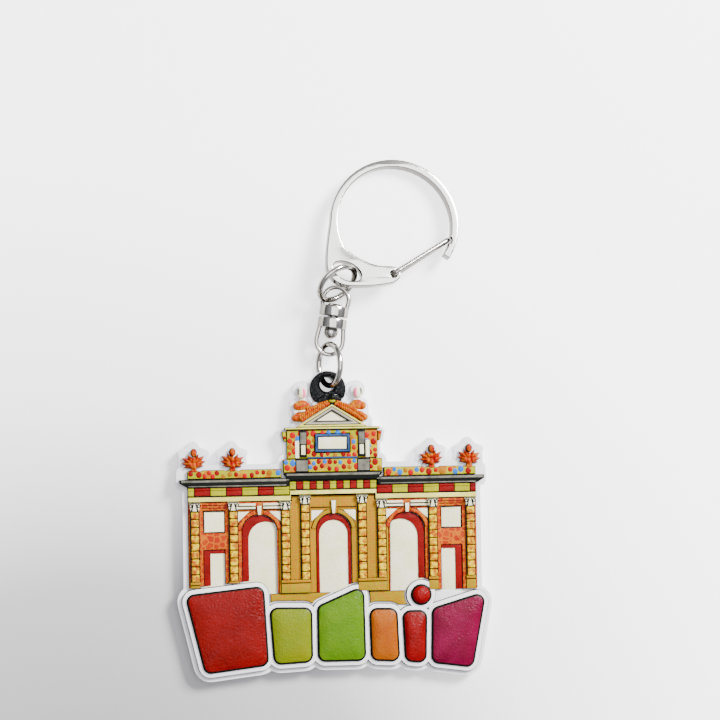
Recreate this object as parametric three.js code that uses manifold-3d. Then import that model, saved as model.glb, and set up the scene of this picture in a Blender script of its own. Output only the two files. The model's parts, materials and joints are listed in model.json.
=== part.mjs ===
// Souvenir keychain: a moulded charm in the form of a triumphal arch, two jump rings, a barrel swivel
// and a D-shaped snap hook. Millimetres, +Z up. It lies on its back with the charm facing +Z and the
// hook towards +Y. The charm is drawn from its middle line (x = 0) and its ground line (y = 0); the
// whole group is then moved so that the origin is at the middle of its footprint, on the table.
import * as THREE from 'three';
import { mergeVertices } from 'three/addons/utils/BufferGeometryUtils.js';
import Module from 'manifold-3d';

const wasm = await Module();
wasm.setup();

// ---------------------------------------------------------------- driving dimensions

const PLATE = { thickness: 2.6, margin: 1.0 };
const GAP = 0.3; // between neighbours that are cut to each other
const SEAM = 0.05; // between neighbours that meet along a straight edge

const ARCH = { halfWidth: 3.5, height: 15.6, reveal: 1.3 };
const SIDE_SPAN = 10.3; // second pair of columns to third
const END_SPAN = 7.6; // third pair of columns to fourth
const COLUMN = { width: 1.4, pierOffset: 2.2, pairSpacing: 3.9, pedestal: 2.8, capital: 1.8, flare: 0.45 };
const WING_OVERHANG = 1.3; // past the outermost column
const DOOR = { width: 4.2, height: 8.9, reveal: 1.3 };
const WALL_PLAQUE = { size: 4.1, above: 3.4 };

// Heights of the bands, bottom to top; the centre's bands sit higher by CENTRE.lift.
const CAPITAL_TOP = 18.3;
const ARCHITRAVE = 1.1;
const FRIEZE = 1.8;
const CORNICE = 1.6;
const CORNICE_REACH = 1.6;
const BALUSTRADE = 1.8;
const CENTRE = { past: 0.65, lift: 1.0, step: 0.4 };

const ATTIC = { halfWidth: 9.1, band: 2.7, bandReach: 0.8, block: 5.7, capReach: 0.4, cap: 0.6 };
const ATTIC_PLAQUE = { halfWidth: 3.5, height: 3.7, frame: 0.55, lift: 1.2 };
const PEDIMENT = { halfWidth: 7.2, rise: 4.4, rail: 1.3 };
const FINIAL = { radius: 2.1, lobe: 0.42, lobes: 5, knob: 0.75, knobLift: 2.1, stem: 2.2 };
// Heights of the figures, the garlands and the tab are taken from the top of the pediment.
const FIGURE = { x: 5.3, headRadius: 1.1, headY: 2.9, bodyTop: 1.4, bodyHalf: 1.9, bodyBottom: -2.6 };
const SWAG = { top: 2.3, inner: 0.5, outer: 4.5, drop: 2.7, narrow: 1.3, wide: 1.3 };
const LEAF = { half: 1.0, height: 2.0, rise: 0.4 };
const EAR = { reach: 1.0, height: 2.2, below: 0.3 };

// How far each layer stands above the plate
const RISE = {
  strip: 0.4, reveal: 0.3, facade: 0.6, columns: 1.4, architrave: 1.0, frieze: 0.9, cornice: 1.5,
  balustrade: 0.8, attic: 0.7, atticBand: 1.0, plaque: 0.9, frame: 1.1, pediment: 1.2, tympanum: 0.6,
  finial: 1.3, figure: 1.5, swag: 1.7, leaf: 1.8, ear: 0.6, rim: 0.8, tile: 1.8, tab: 1.4,
};

const TAB = { x: -0.8, y: 3.0, radius: 3.75, holeX: -0.9, holeY: 3.95, holeRadius: 1.7, under: 2.3, skin: 0.6 };

// The row of coloured tiles: each boundary between two tiles is a line from its top x to its bottom x.
const ROW = { gap: 0.9, rim: 0.9, corner: 1.6, bottom: -13.6, drop: 2.4, halfWidth: 30, strip: 2.8 };
const BOUNDARIES = [
  { top: -30.2, bottom: -26.4 }, { top: -13.6, bottom: -12.8 }, { top: -4.1, bottom: -4.1 },
  { top: 6.3, bottom: 6.5 }, { top: 12.9, bottom: 13.3 }, { top: 18.9, bottom: 18.6 },
  { top: 31.0, bottom: 28.0 },
];
const TILES = [
  { name: 'tile_red', colour: 0xb80010, topLeft: 0.2, topRight: 1.7 },
  { name: 'tile_lime', colour: 0xb4c400, topLeft: -2.6, topRight: -2.8 },
  { name: 'tile_green', colour: 0x7fa80c, topLeft: -2.6, topRight: 1.4 },
  { name: 'tile_orange', colour: 0xe08418, topLeft: -3.2, topRight: -3.4 },
  { name: 'tile_crimson', colour: 0xc41428, topLeft: -3.9, topRight: -3.9 },
  { name: 'tile_magenta', colour: 0xa81e50, topLeft: -3.6, topRight: -0.4 },
];
const STUD = { x: 17.3, y: -0.9, radius: 2.1 };

const RING = { radius: 4.1, wire: 0.58, sides: 10 };
// The lower ring and the swivel's lower bar are placed from the middle of the tab's hole.
const LOWER_RING = { x: 0.48, y: 3.85, lean: 24 };
const LOWER_BAR = { x: 0.262, y: 6.055 };
const SWIVEL = { z: 3.2, lean: 9.7, roll: 20 };
const COLLAR = { radius: 2.9, height: 2.0, gap: 0.4, bore: 1.25 };
// upper and lower are how far the middle of each bar stands past the end of its collar.
const YOKE = { half: 2.65, upper: 3.8, lower: 5.15, strapThick: 0.9, strapWide: 1.1 };
// The upper ring and the hook's eye are placed from the swivel's upper bar.
const UPPER_RING = { x: -0.35, y: 0.74, z: 5.47, azimuth: 35.7, rise: 53.2 };
const RIVET = { radius: 1.1, ball: 1.4, head: 1.6, headThick: 0.4, play: 0.1 };

// The hook is drawn from the centre of its eye; the ring of the hook is a circle about (x, y).
const HOOK = { x: 1.59, y: 2.94, z: 5.08, tilt: 8, sway: 2.5, thickness: 2.4 };
const BOW = { x: 10.0, y: 9.9, outer: 13.0, inner: 11.6, tip: -33.5 };
const EYE = { long: 3.0, short: 1.75, turn: -26 };
const GATE = {
  x: 9.3, y: -0.55, wire: 0.52, play: 0.12, spread: 1.95, closedSpread: 0.8, seat: -17, seatInset: 0.3,
};

// ---------------------------------------------------------------- materials

const paint = (color, roughness = 0.45) => new THREE.MeshStandardMaterial({ color, roughness, metalness: 0 });
const steel = () => new THREE.MeshStandardMaterial({ color: 0xc9cacb, roughness: 0.18, metalness: 1 });

const WHITE = 0xecebf0;
const OCHRE = 0xd79c06;
const ORANGE = 0xe26a0c;
const RED = 0xc0101a;
const YELLOW = 0xe4cf48;
const GREY = 0x8c8f8a;
const CREAM = 0xe4dc86;
const BLACK = 0x26292b;
const FLAME = 0xe04a10;
const BLUE = 0x6f93cc;

// ---------------------------------------------------------------- outlines and solids

const radians = THREE.MathUtils.degToRad;

// A convex outline with round corners. The corners' centres stay put when grow is added, so a grown
// outline is the true offset of the plain one.
function rounded(points, radius, grow = 0, steps = 5) {
  const shape = [];
  points.forEach(([x, y], i) => {
    const [px, py] = points[(i + points.length - 1) % points.length];
    const [nx, ny] = points[(i + 1) % points.length];
    const before = Math.atan2(y - py, x - px) - Math.PI / 2;
    let turn = Math.atan2(ny - y, nx - x) - Math.PI / 2 - before;
    if (turn < 0) turn += 2 * Math.PI;
    const reach = radius / Math.cos(turn / 2);
    const cx = x - reach * Math.cos(before + turn / 2);
    const cy = y - reach * Math.sin(before + turn / 2);
    for (let step = 0; step <= steps; step += 1) {
      const angle = before + (turn * step) / steps;
      const [dx, dy] = [Math.cos(angle), Math.sin(angle)];
      shape.push(new THREE.Vector2(cx + (radius + grow) * dx, cy + (radius + grow) * dy));
    }
  });
  return new THREE.Shape(shape);
}

const box = (x0, y0, x1, y1) => [[x0, y0], [x1, y0], [x1, y1], [x0, y1]];

const plain = (points) => new THREE.Shape(points.map(([x, y]) => new THREE.Vector2(x, y)));

function disc(x, y, radius, steps = 32) {
  const angles = Array.from({ length: steps }, (_, i) => (2 * Math.PI * i) / steps);
  const at = (angle) => new THREE.Vector2(x + radius * Math.cos(angle), y + radius * Math.sin(angle));
  return new THREE.Shape(angles.map(at));
}

function slab(shape, bottom, top, curveSegments = 10) {
  const settings = { depth: top - bottom, bevelEnabled: false, curveSegments };
  const geometry = new THREE.ExtrudeGeometry(shape, settings);
  return geometry.translate(0, 0, bottom);
}

const onPlate = (shape, rise) => slab(shape, PLATE.thickness, PLATE.thickness + rise);

function solid(geometry) {
  const bare = geometry.index ? geometry.toNonIndexed() : geometry.clone();
  bare.deleteAttribute('normal');
  bare.deleteAttribute('uv');
  const merged = mergeVertices(bare, 1e-5);
  return new wasm.Manifold(new wasm.Mesh({
    numProp: 3,
    vertProperties: new Float32Array(merged.attributes.position.array),
    triVerts: new Uint32Array(merged.index.array),
  }));
}

function surface(body) {
  const mesh = body.getMesh();
  const geometry = new THREE.BufferGeometry();
  geometry.setAttribute('position', new THREE.BufferAttribute(mesh.vertProperties, 3));
  geometry.setIndex(new THREE.BufferAttribute(mesh.triVerts, 1));
  return geometry;
}

const join = (...geometries) => surface(geometries.map(solid).reduce((whole, next) => whole.add(next)));

const cut = (geometry, ...tools) => (
  surface(tools.map(solid).reduce((rest, tool) => rest.subtract(tool), solid(geometry))));

// A body's separate pieces, the largest first.
const piecesOf = (geometry) => (
  solid(geometry).decompose().sort((first, second) => second.volume() - first.volume()));

// A rod of the given section carried along a curve.
function rod(curve, section, steps) {
  const settings = { steps, extrudePath: curve, bevelEnabled: false, curveSegments: 4 };
  return new THREE.ExtrudeGeometry(section, settings);
}

const keychain = new THREE.Group();

function add(name, geometry, material, parent = keychain) {
  geometry.computeVertexNormals();
  const mesh = new THREE.Mesh(geometry, material);
  mesh.name = name;
  parent.add(mesh);
  return mesh;
}

const SIDES = [['left', -1], ['right', 1]];
const mirrored = (points, side) => (side > 0 ? points : points.map(([x, y]) => [-x, y]).reverse());

// ---------------------------------------------------------------- where the façade's features stand

const innerColumn = ARCH.halfWidth + COLUMN.pierOffset;
const columnX = [
  innerColumn,
  innerColumn + COLUMN.pairSpacing,
  innerColumn + COLUMN.pairSpacing + SIDE_SPAN,
  innerColumn + COLUMN.pairSpacing + SIDE_SPAN + END_SPAN,
];
const sideArchX = (columnX[1] + columnX[2]) / 2;
const endBayX = (columnX[2] + columnX[3]) / 2;
const wingHalf = columnX[3] + WING_OVERHANG;
const corniceHalf = wingHalf + CORNICE_REACH;
const centreHalf = (columnX[0] + columnX[1]) / 2 + CENTRE.past;

const wingY = [CAPITAL_TOP];
[ARCHITRAVE, FRIEZE, CORNICE, BALUSTRADE].forEach((height) => wingY.push(wingY.at(-1) + height));
const centreY = wingY.slice(0, 4).map((y) => y + CENTRE.lift);
const atticBottom = centreY[3];
const blockBottom = atticBottom + ATTIC.band;
const blockTop = blockBottom + ATTIC.block;
const pedimentBottom = blockTop + ATTIC.cap;
const pedimentTop = pedimentBottom + PEDIMENT.rise;
const finialY = wingY[4] + FINIAL.stem;
const bandHalf = ATTIC.halfWidth + ATTIC.bandReach;

// ---------------------------------------------------------------- tiles

const rowBottom = (x) => ROW.bottom - ROW.drop * (x / ROW.halfWidth) ** 2;

function tileCorners(index) {
  const [left, right] = [BOUNDARIES[index], BOUNDARIES[index + 1]];
  const { topLeft, topRight } = TILES[index];
  const half = ROW.gap / 2;
  return [
    [left.bottom + half, rowBottom(left.bottom)], [right.bottom - half, rowBottom(right.bottom)],
    [right.top - half, topRight], [left.top + half, topLeft],
  ];
}

const tileOutline = (index, grow = 0) => rounded(tileCorners(index), ROW.corner, grow);

// Every tile and the stud, grown and joined into one body.
function rowBody(grow, bottom, top) {
  const parts = TILES.map((_, index) => slab(tileOutline(index, grow), bottom, top));
  parts.push(slab(disc(STUD.x, STUD.y, STUD.radius + grow), bottom, top));
  return join(...parts);
}

const tileClearance = rowBody(ROW.rim + GAP, PLATE.thickness - 1, PLATE.thickness + RISE.tile + 2);
const clearOfTiles = (geometry) => cut(geometry, tileClearance);

TILES.forEach(({ name, colour }, index) => {
  const bottom = PLATE.thickness + RISE.rim;
  add(name, slab(tileOutline(index), bottom, PLATE.thickness + RISE.tile), paint(colour, 0.3));
});
const stud = slab(disc(STUD.x, STUD.y, STUD.radius), PLATE.thickness + RISE.rim, PLATE.thickness + RISE.tile);
add('tile_stud', stud, paint(0xb40d22, 0.3));
add('tile_rim', rowBody(ROW.rim, PLATE.thickness, PLATE.thickness + RISE.rim), paint(WHITE));

// ---------------------------------------------------------------- finials and figures

// A leafy finial: lobes round a middle, as a polar curve whose radius swings with the cosine of the angle.
function finialOutline(x, y, radius, swing, steps = 40) {
  const points = Array.from({ length: steps }, (_, i) => {
    const angle = (2 * Math.PI * i) / steps;
    const reach = radius + swing * Math.cos(FINIAL.lobes * (angle - Math.PI / 2));
    return [x + reach * Math.cos(angle), y + reach * Math.sin(angle)];
  });
  return plain(points);
}

const finialX = [-columnX[3], -columnX[2], columnX[2], columnX[3]];
finialX.forEach((x, index) => {
  const leaves = onPlate(finialOutline(x, finialY - GAP, FINIAL.radius - 0.2, FINIAL.lobe), RISE.finial);
  const knob = onPlate(disc(x, finialY + FINIAL.knobLift, FINIAL.knob, 16), RISE.finial);
  add(`finial_${index + 1}`, join(leaves, knob), paint(FLAME, 0.4));
});

// The two figures sit one on each side of the tab.
const figureX = (side) => TAB.x / 2 + side * FIGURE.x;
const figureBody = (side) => mirrored([
  [-FIGURE.bodyHalf, FIGURE.bodyBottom + 1.4], [FIGURE.bodyHalf, FIGURE.bodyBottom],
  [FIGURE.bodyHalf * 0.9, FIGURE.bodyTop - 1.2], [0, FIGURE.bodyTop],
], side).map(([x, y]) => [figureX(side) + x, pedimentTop + y]);
const tabY = pedimentTop + TAB.y;
const holeY = pedimentTop + TAB.holeY;
const headY = pedimentTop + FIGURE.headY;

// A garland along each slope of the pediment: a four-cornered band, narrow at the top.
const swagBand = (side) => mirrored([
  [SWAG.inner, SWAG.top - SWAG.narrow], [SWAG.outer, SWAG.top - SWAG.drop - SWAG.wide],
  [SWAG.outer, SWAG.top - SWAG.drop], [SWAG.inner, SWAG.top],
], side).map(([x, y]) => [x, pedimentTop + y]);
const leafPoints = [[-LEAF.half, LEAF.rise], [LEAF.half, LEAF.rise], [0, LEAF.rise + LEAF.height]]
  .map(([x, y]) => [x, pedimentTop + y]);

// A small ear on each side of the attic's block, near its top.
const earPoints = (side) => mirrored([
  [ATTIC.halfWidth + SEAM, blockTop - EAR.below - EAR.height],
  [ATTIC.halfWidth + EAR.reach * 0.6, blockTop - EAR.below - EAR.height * 0.8],
  [ATTIC.halfWidth + EAR.reach, blockTop - EAR.below], [ATTIC.halfWidth + SEAM, blockTop - EAR.below],
], side);

SIDES.forEach(([word, side]) => {
  const x = figureX(side);
  const head = onPlate(disc(x, headY, FIGURE.headRadius, 16), RISE.figure);
  const neckBox = box(x - 0.5, pedimentTop + FIGURE.bodyTop - 1.5, x + 0.5, headY);
  const neck = onPlate(rounded(neckBox, 0.2), RISE.figure);
  const body = onPlate(rounded(figureBody(side), 0.6), RISE.figure);
  const reach = 2 * PEDIMENT.halfWidth;
  const attic = onPlate(rounded(box(-reach, blockTop, reach, pedimentBottom), 0.01, GAP), 9);
  const tab = onPlate(disc(TAB.x, tabY, TAB.radius + GAP), 9);
  const garland = onPlate(rounded(swagBand(side), 0.3, GAP), 9);
  add(`figure_${word}`, cut(join(head, neck, body), attic, pedimentClearance(), tab, garland), paint(0xd8cdd0));
});

// The garlands and the leaf lie partly on the raised tab, and are cut to it there.
const tabTop = PLATE.thickness + RISE.tab - TAB.skin;
const footHalf = TAB.radius * 0.8;
const tabFoot = () => rounded(box(TAB.x - footHalf, pedimentTop - 1, TAB.x + footHalf, tabY - 1), 0.3);
const onTab = (geometry) => cut(geometry, pedimentClearance(),
  slab(disc(TAB.x, tabY, TAB.radius, 40), 0, tabTop), slab(tabFoot(), 0, tabTop));
const leafClearance = slab(rounded(leafPoints, 0.15, GAP), 0, 9);
SIDES.forEach(([word, side]) => {
  const band = onTab(onPlate(rounded(swagBand(side), 0.3), RISE.swag));
  add(`swag_${word}`, cut(band, leafClearance), paint(ORANGE));
});
add('apex_leaf', onTab(onPlate(rounded(leafPoints, 0.15), RISE.leaf)), paint(0x1f3a30));

// ---------------------------------------------------------------- plate

function pedimentClearance() {
  const half = PEDIMENT.halfWidth;
  return onPlate(rounded([[-half, pedimentBottom], [half, pedimentBottom], [0, pedimentTop]], 0.2, GAP), 9);
}

function plateOutlines() {
  const m = PLATE.margin;
  const outlines = [
    rounded(box(-wingHalf, -ROW.strip, wingHalf, CAPITAL_TOP), 0.5, m),
    rounded(box(-corniceHalf, wingY[2], corniceHalf, wingY[4]), 0.5, m * 0.6),
    rounded(box(-wingHalf, CAPITAL_TOP - 1, wingHalf, wingY[4]), 0.5, m),
    rounded(box(-bandHalf, CAPITAL_TOP, bandHalf, blockBottom), 0.5, m),
    rounded(box(-ATTIC.halfWidth, atticBottom, ATTIC.halfWidth, blockTop), 0.5, m * 0.6),
    rounded(box(-PEDIMENT.halfWidth, blockTop - 1, PEDIMENT.halfWidth, pedimentBottom + 1.5), 0.4, m),
    rounded([[-PEDIMENT.halfWidth, pedimentBottom], [PEDIMENT.halfWidth, pedimentBottom],
      [1.6, pedimentTop + 1], [-1.6, pedimentTop + 1]], 0.4, m),
    disc(STUD.x, STUD.y, STUD.radius + ROW.rim + m),
  ];
  TILES.forEach((_, index) => outlines.push(tileOutline(index, ROW.rim + m * 0.8)));
  finialX.forEach((x) => {
    outlines.push(finialOutline(x, finialY + 0.3, FINIAL.radius + m * 0.7, FINIAL.lobe));
    outlines.push(rounded(box(x - FINIAL.radius, wingY[3], x + FINIAL.radius, finialY), 0.4, m * 0.8));
  });
  SIDES.forEach(([, side]) => {
    outlines.push(disc(figureX(side), headY, FIGURE.headRadius + m * 0.8, 20));
    outlines.push(rounded(earPoints(side), 0.15, m * 0.6));
    outlines.push(rounded(figureBody(side), 0.6, m * 0.8));
  });
  return outlines;
}

// The plate, with the thinner tab raised off the table so that its ring can pass below.
function basePlate() {
  const body = join(...plateOutlines().map((outline) => slab(outline, 0, PLATE.thickness)));
  const tab = slab(disc(TAB.x, tabY, TAB.radius, 40), TAB.under, tabTop);
  const foot = slab(tabFoot(), TAB.under, tabTop);
  const hole = slab(disc(TAB.holeX, holeY, TAB.holeRadius, 24), -1, 9);
  const below = pedimentClearance();
  const raised = cut(join(tab, foot), below);
  const wayLow = holeY - TAB.holeRadius - 0.2;
  const wayBox = box(TAB.x - TAB.radius, wayLow, TAB.x + TAB.radius, tabY + 9);
  const way = slab(rounded(wayBox, 0.2), -1, TAB.under);
  return cut(join(cut(body, way), raised), hole);
}
add('base_plate', basePlate(), paint(WHITE));

function tabFace() {
  const top = PLATE.thickness + RISE.tab;
  const face = slab(disc(TAB.x, tabY, TAB.radius - 0.15, 40), top - TAB.skin, top);
  const hole = slab(disc(TAB.holeX, holeY, TAB.holeRadius + 0.05, 24), -1, 9);
  const garlands = SIDES.map(([, side]) => slab(rounded(swagBand(side), 0.3, SEAM), 0, 9));
  return surface(piecesOf(cut(face, hole, slab(rounded(leafPoints, 0.15, SEAM), 0, 9), ...garlands))[0]);
}
add('tab_face', tabFace(), paint(BLACK, 0.6));

// ---------------------------------------------------------------- façade

// An arched outline: straight sides and a half-round head.
function archPoints(x, halfWidth, height, bottom, steps = 16) {
  const spring = height - halfWidth;
  const head = Array.from({ length: steps + 1 }, (_, i) => {
    const angle = (Math.PI * i) / steps;
    return [x + halfWidth * Math.cos(angle), spring + halfWidth * Math.sin(angle)];
  });
  return [[x - halfWidth, bottom], [x + halfWidth, bottom], ...head];
}

const archCutter = (x) => slab(plain(archPoints(x, ARCH.halfWidth, ARCH.height, -1)), 0, 9);
const doorBox = (x) => box(x - DOOR.width / 2, -1, x + DOOR.width / 2, DOOR.height);

const facadePanel = (outline, cutters) => clearOfTiles(cut(onPlate(plain(outline), RISE.facade), ...cutters));

const pierEdge = columnX[1] + COLUMN.width;
const facadeTop = CAPITAL_TOP - SEAM;
const centreOutline = [
  [-pierEdge, 0], [pierEdge, 0], [pierEdge, facadeTop], [centreHalf, facadeTop],
  [centreHalf, facadeTop + CENTRE.lift], [-centreHalf, facadeTop + CENTRE.lift],
  [-centreHalf, facadeTop], [-pierEdge, facadeTop],
];
add('facade_centre', facadePanel(centreOutline, [archCutter(0)]), paint(OCHRE));
SIDES.forEach(([word, side]) => {
  const [near, far] = [side * (pierEdge + SEAM), side * wingHalf];
  const cutters = [archCutter(side * sideArchX), slab(rounded(doorBox(side * endBayX), 0.02), 0, 9)];
  const plaqueY = DOOR.height + WALL_PLAQUE.above;
  const half = WALL_PLAQUE.size / 2;
  const plaque = box(side * endBayX - half, plaqueY, side * endBayX + half, plaqueY + WALL_PLAQUE.size);
  cutters.push(slab(rounded(plaque, 0.1, SEAM), 0, 9));
  const panel = facadePanel(box(Math.min(near, far), 0, Math.max(near, far), facadeTop), cutters);
  add(`facade_${word}`, panel, paint(ORANGE));
  add(`wall_plaque_${word}`, onPlate(rounded(plaque, 0.1), RISE.facade - 0.1), paint(WHITE));
});

// A painted reveal: the opening's outline less the same outline moved sideways and down.
function reveal(outline, shiftX, shiftY) {
  const inner = outline.map(([x, y]) => [x + shiftX, y - shiftY]);
  return clearOfTiles(cut(onPlate(plain(outline), RISE.reveal), slab(plain(inner), 0, 9)));
}

function archReveal(x, shift) {
  const outline = archPoints(x, ARCH.halfWidth - SEAM, ARCH.height - SEAM, 0);
  if (shift !== 0) return reveal(outline, shift * ARCH.reveal, ARCH.reveal);
  const inner = archPoints(x, ARCH.halfWidth - ARCH.reveal / 2, ARCH.height - ARCH.reveal, -2);
  return clearOfTiles(cut(onPlate(plain(outline), RISE.reveal), slab(plain(inner), 0, 9)));
}
add('reveal_centre', archReveal(0, 0), paint(RED));
SIDES.forEach(([word, side]) => {
  add(`reveal_${word}`, archReveal(side * sideArchX, -side), paint(RED));
  const half = DOOR.width / 2 - SEAM;
  const door = box(side * endBayX - half, 0, side * endBayX + half, DOOR.height - SEAM);
  add(`door_reveal_${word}`, reveal(door, -side * DOOR.reveal, DOOR.reveal / 2), paint(RED));
});

// ---------------------------------------------------------------- columns and bands

function columnOutline(x, top) {
  const half = COLUMN.width / 2;
  const wide = half + COLUMN.flare;
  const neck = top - COLUMN.capital;
  return [
    [x - wide, 0], [x + wide, 0], [x + wide, COLUMN.pedestal], [x + half, COLUMN.pedestal + 0.4],
    [x + half, neck], [x + wide, top - 0.7], [x + wide, top], [x - wide, top], [x - wide, top - 0.7],
    [x - half, neck], [x - half, COLUMN.pedestal + 0.4], [x - wide, COLUMN.pedestal],
  ];
}

[...columnX].reverse().map((x) => -x).concat(columnX).forEach((x, index) => {
  const top = facadeTop + (Math.abs(x) < centreHalf ? CENTRE.lift : 0);
  const base = PLATE.thickness + RISE.facade;
  const shaft = slab(plain(columnOutline(x, top)), base, PLATE.thickness + RISE.columns);
  add(`column_${index + 1}`, clearOfTiles(shaft), paint(YELLOW));
});

// The lifted centre of each band reaches a step further than the one below.
const bandEdge = (level) => centreHalf + level * CENTRE.step;

// The outline of one band: wings at the wing heights, and the centre lifted, with a riser between.
function bandOutline(level, half) {
  const [low, high] = [wingY[level], wingY[level + 1] - SEAM];
  const inner = bandEdge(level) + SEAM;
  const outer = bandEdge(level + 1);
  return plain([
    [-half, low], [-inner, low], [-inner, low + CENTRE.lift], [inner, low + CENTRE.lift],
    [inner, low], [half, low], [half, high], [outer, high], [outer, high + CENTRE.lift],
    [-outer, high + CENTRE.lift], [-outer, high], [-half, high],
  ]);
}

add('architrave', onPlate(bandOutline(0, wingHalf), RISE.architrave), paint(CREAM));
add('frieze', onPlate(bandOutline(1, wingHalf), RISE.frieze), paint(RED));
add('cornice', onPlate(bandOutline(2, corniceHalf), RISE.cornice), paint(GREY));

const balustradeInner = Math.max(bandEdge(3), ATTIC.halfWidth + ATTIC.bandReach) + GAP;
SIDES.forEach(([word, side]) => {
  const rail = box(Math.min(side * balustradeInner, side * wingHalf), wingY[3],
    Math.max(side * balustradeInner, side * wingHalf), wingY[4]);
  const clear = finialX.map((x) => slab(finialOutline(x, finialY, FINIAL.radius + GAP, FINIAL.lobe), 0, 9));
  add(`balustrade_${word}`, cut(onPlate(rounded(rail, 0.1), RISE.balustrade), ...clear), paint(YELLOW));
});

// The ground shows between the façade and the tiles; its two largest pieces are kept.
const ground = onPlate(rounded(box(-wingHalf, -ROW.strip, wingHalf, -SEAM), 0.1), RISE.strip);
const groundPieces = piecesOf(clearOfTiles(ground)).slice(0, 2)
  .sort((first, second) => first.boundingBox().min[0] - second.boundingBox().min[0]);
SIDES.forEach(([word], index) => add(`ground_${word}`, surface(groundPieces[index]), paint(0xb8941c)));

// ---------------------------------------------------------------- attic and pediment

const bandBox = box(-bandHalf, atticBottom, bandHalf, blockBottom - SEAM);
add('attic_band', onPlate(rounded(bandBox, 0.15), RISE.atticBand), paint(CREAM));

const plaqueBottom = blockBottom + ATTIC_PLAQUE.lift;
const plaqueBox = (inset) => box(-ATTIC_PLAQUE.halfWidth + inset, plaqueBottom + inset,
  ATTIC_PLAQUE.halfWidth - inset, plaqueBottom + ATTIC_PLAQUE.height - inset);
const plaqueWell = slab(rounded(plaqueBox(-SEAM), 0.1), 0, 9);
const blockBox = box(-ATTIC.halfWidth, blockBottom, ATTIC.halfWidth, blockTop - SEAM);
const block = onPlate(rounded(blockBox, 0.2), RISE.attic);
add('attic_block', cut(block, plaqueWell), paint(0xd8b23a));
SIDES.forEach(([word, side]) => {
  add(`attic_ear_${word}`, onPlate(rounded(earPoints(side), 0.15), RISE.ear), paint(YELLOW));
});
const frame = onPlate(rounded(plaqueBox(0), 0.1), RISE.frame);
add('plaque_frame', cut(frame, slab(rounded(plaqueBox(ATTIC_PLAQUE.frame), 0.05), 0, 9)), paint(BLUE));
add('attic_plaque', onPlate(rounded(plaqueBox(ATTIC_PLAQUE.frame + SEAM), 0.05), RISE.plaque), paint(WHITE));

const capHalf = ATTIC.halfWidth + ATTIC.capReach;
const capBox = box(-capHalf, blockTop, capHalf, pedimentBottom - SEAM);
add('attic_cap', onPlate(rounded(capBox, 0.1), RISE.pediment), paint(CREAM));

const gable = (inset, grow = 0) => {
  const slope = Math.hypot(PEDIMENT.halfWidth, PEDIMENT.rise) / PEDIMENT.rise;
  const half = PEDIMENT.halfWidth - inset * (slope + PEDIMENT.halfWidth / PEDIMENT.rise);
  const rise = (half * PEDIMENT.rise) / PEDIMENT.halfWidth;
  const foot = pedimentBottom + inset;
  return rounded([[-half, foot], [half, foot], [0, foot + rise]], 0.05, grow, 2);
};
add('pediment', cut(onPlate(gable(0), RISE.pediment), slab(gable(PEDIMENT.rail * 0.6), 0, 9)), paint(GREY));
add('tympanum', onPlate(gable(PEDIMENT.rail * 0.6 + SEAM), RISE.tympanum), paint(WHITE));

// ---------------------------------------------------------------- jump rings

// A ring of round wire lying in its own XY plane.
function ringWire() {
  return new THREE.TorusGeometry(RING.radius, RING.wire, RING.sides, 36);
}

const chain = new THREE.Group();
chain.position.set(TAB.holeX, holeY, 0);
keychain.add(chain);

const lowerRing = add('lower_jump_ring', ringWire(), steel(), chain);
lowerRing.rotation.set(0, -radians(90 - LOWER_RING.lean), 0);
const ringRise = RING.radius * Math.cos(radians(LOWER_RING.lean)) + RING.wire;
lowerRing.position.set(LOWER_RING.x, LOWER_RING.y, ringRise);

// The swivel's axis leans in the plan; its two bars stand at the ends of the two yokes.
const lean = radians(SWIVEL.lean);
const collarEnd = COLLAR.gap / 2 + COLLAR.height;
const alongSwivel = (reach) => new THREE.Vector3(reach * Math.sin(lean), reach * Math.cos(lean), 0);
const swivelAt = alongSwivel(collarEnd + YOKE.lower).add(new THREE.Vector3(LOWER_BAR.x, LOWER_BAR.y, SWIVEL.z));
const upperBarAt = swivelAt.clone().add(alongSwivel(collarEnd + YOKE.upper)).setZ(0);
const top = new THREE.Group();
top.position.copy(upperBarAt);
chain.add(top);

// The upper ring's plane holds the azimuth direction e and a direction u that rises from the table.
const upperRing = add('upper_jump_ring', ringWire(), steel(), top);
upperRing.rotation.set(0, 0, radians(UPPER_RING.azimuth));
upperRing.rotateX(radians(UPPER_RING.rise));
upperRing.position.set(UPPER_RING.x, UPPER_RING.y, UPPER_RING.z);

// ---------------------------------------------------------------- swivel

const swivel = new THREE.Group();
swivel.position.copy(swivelAt);
swivel.rotation.set(0, 0, -lean);
chain.add(swivel);

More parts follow.
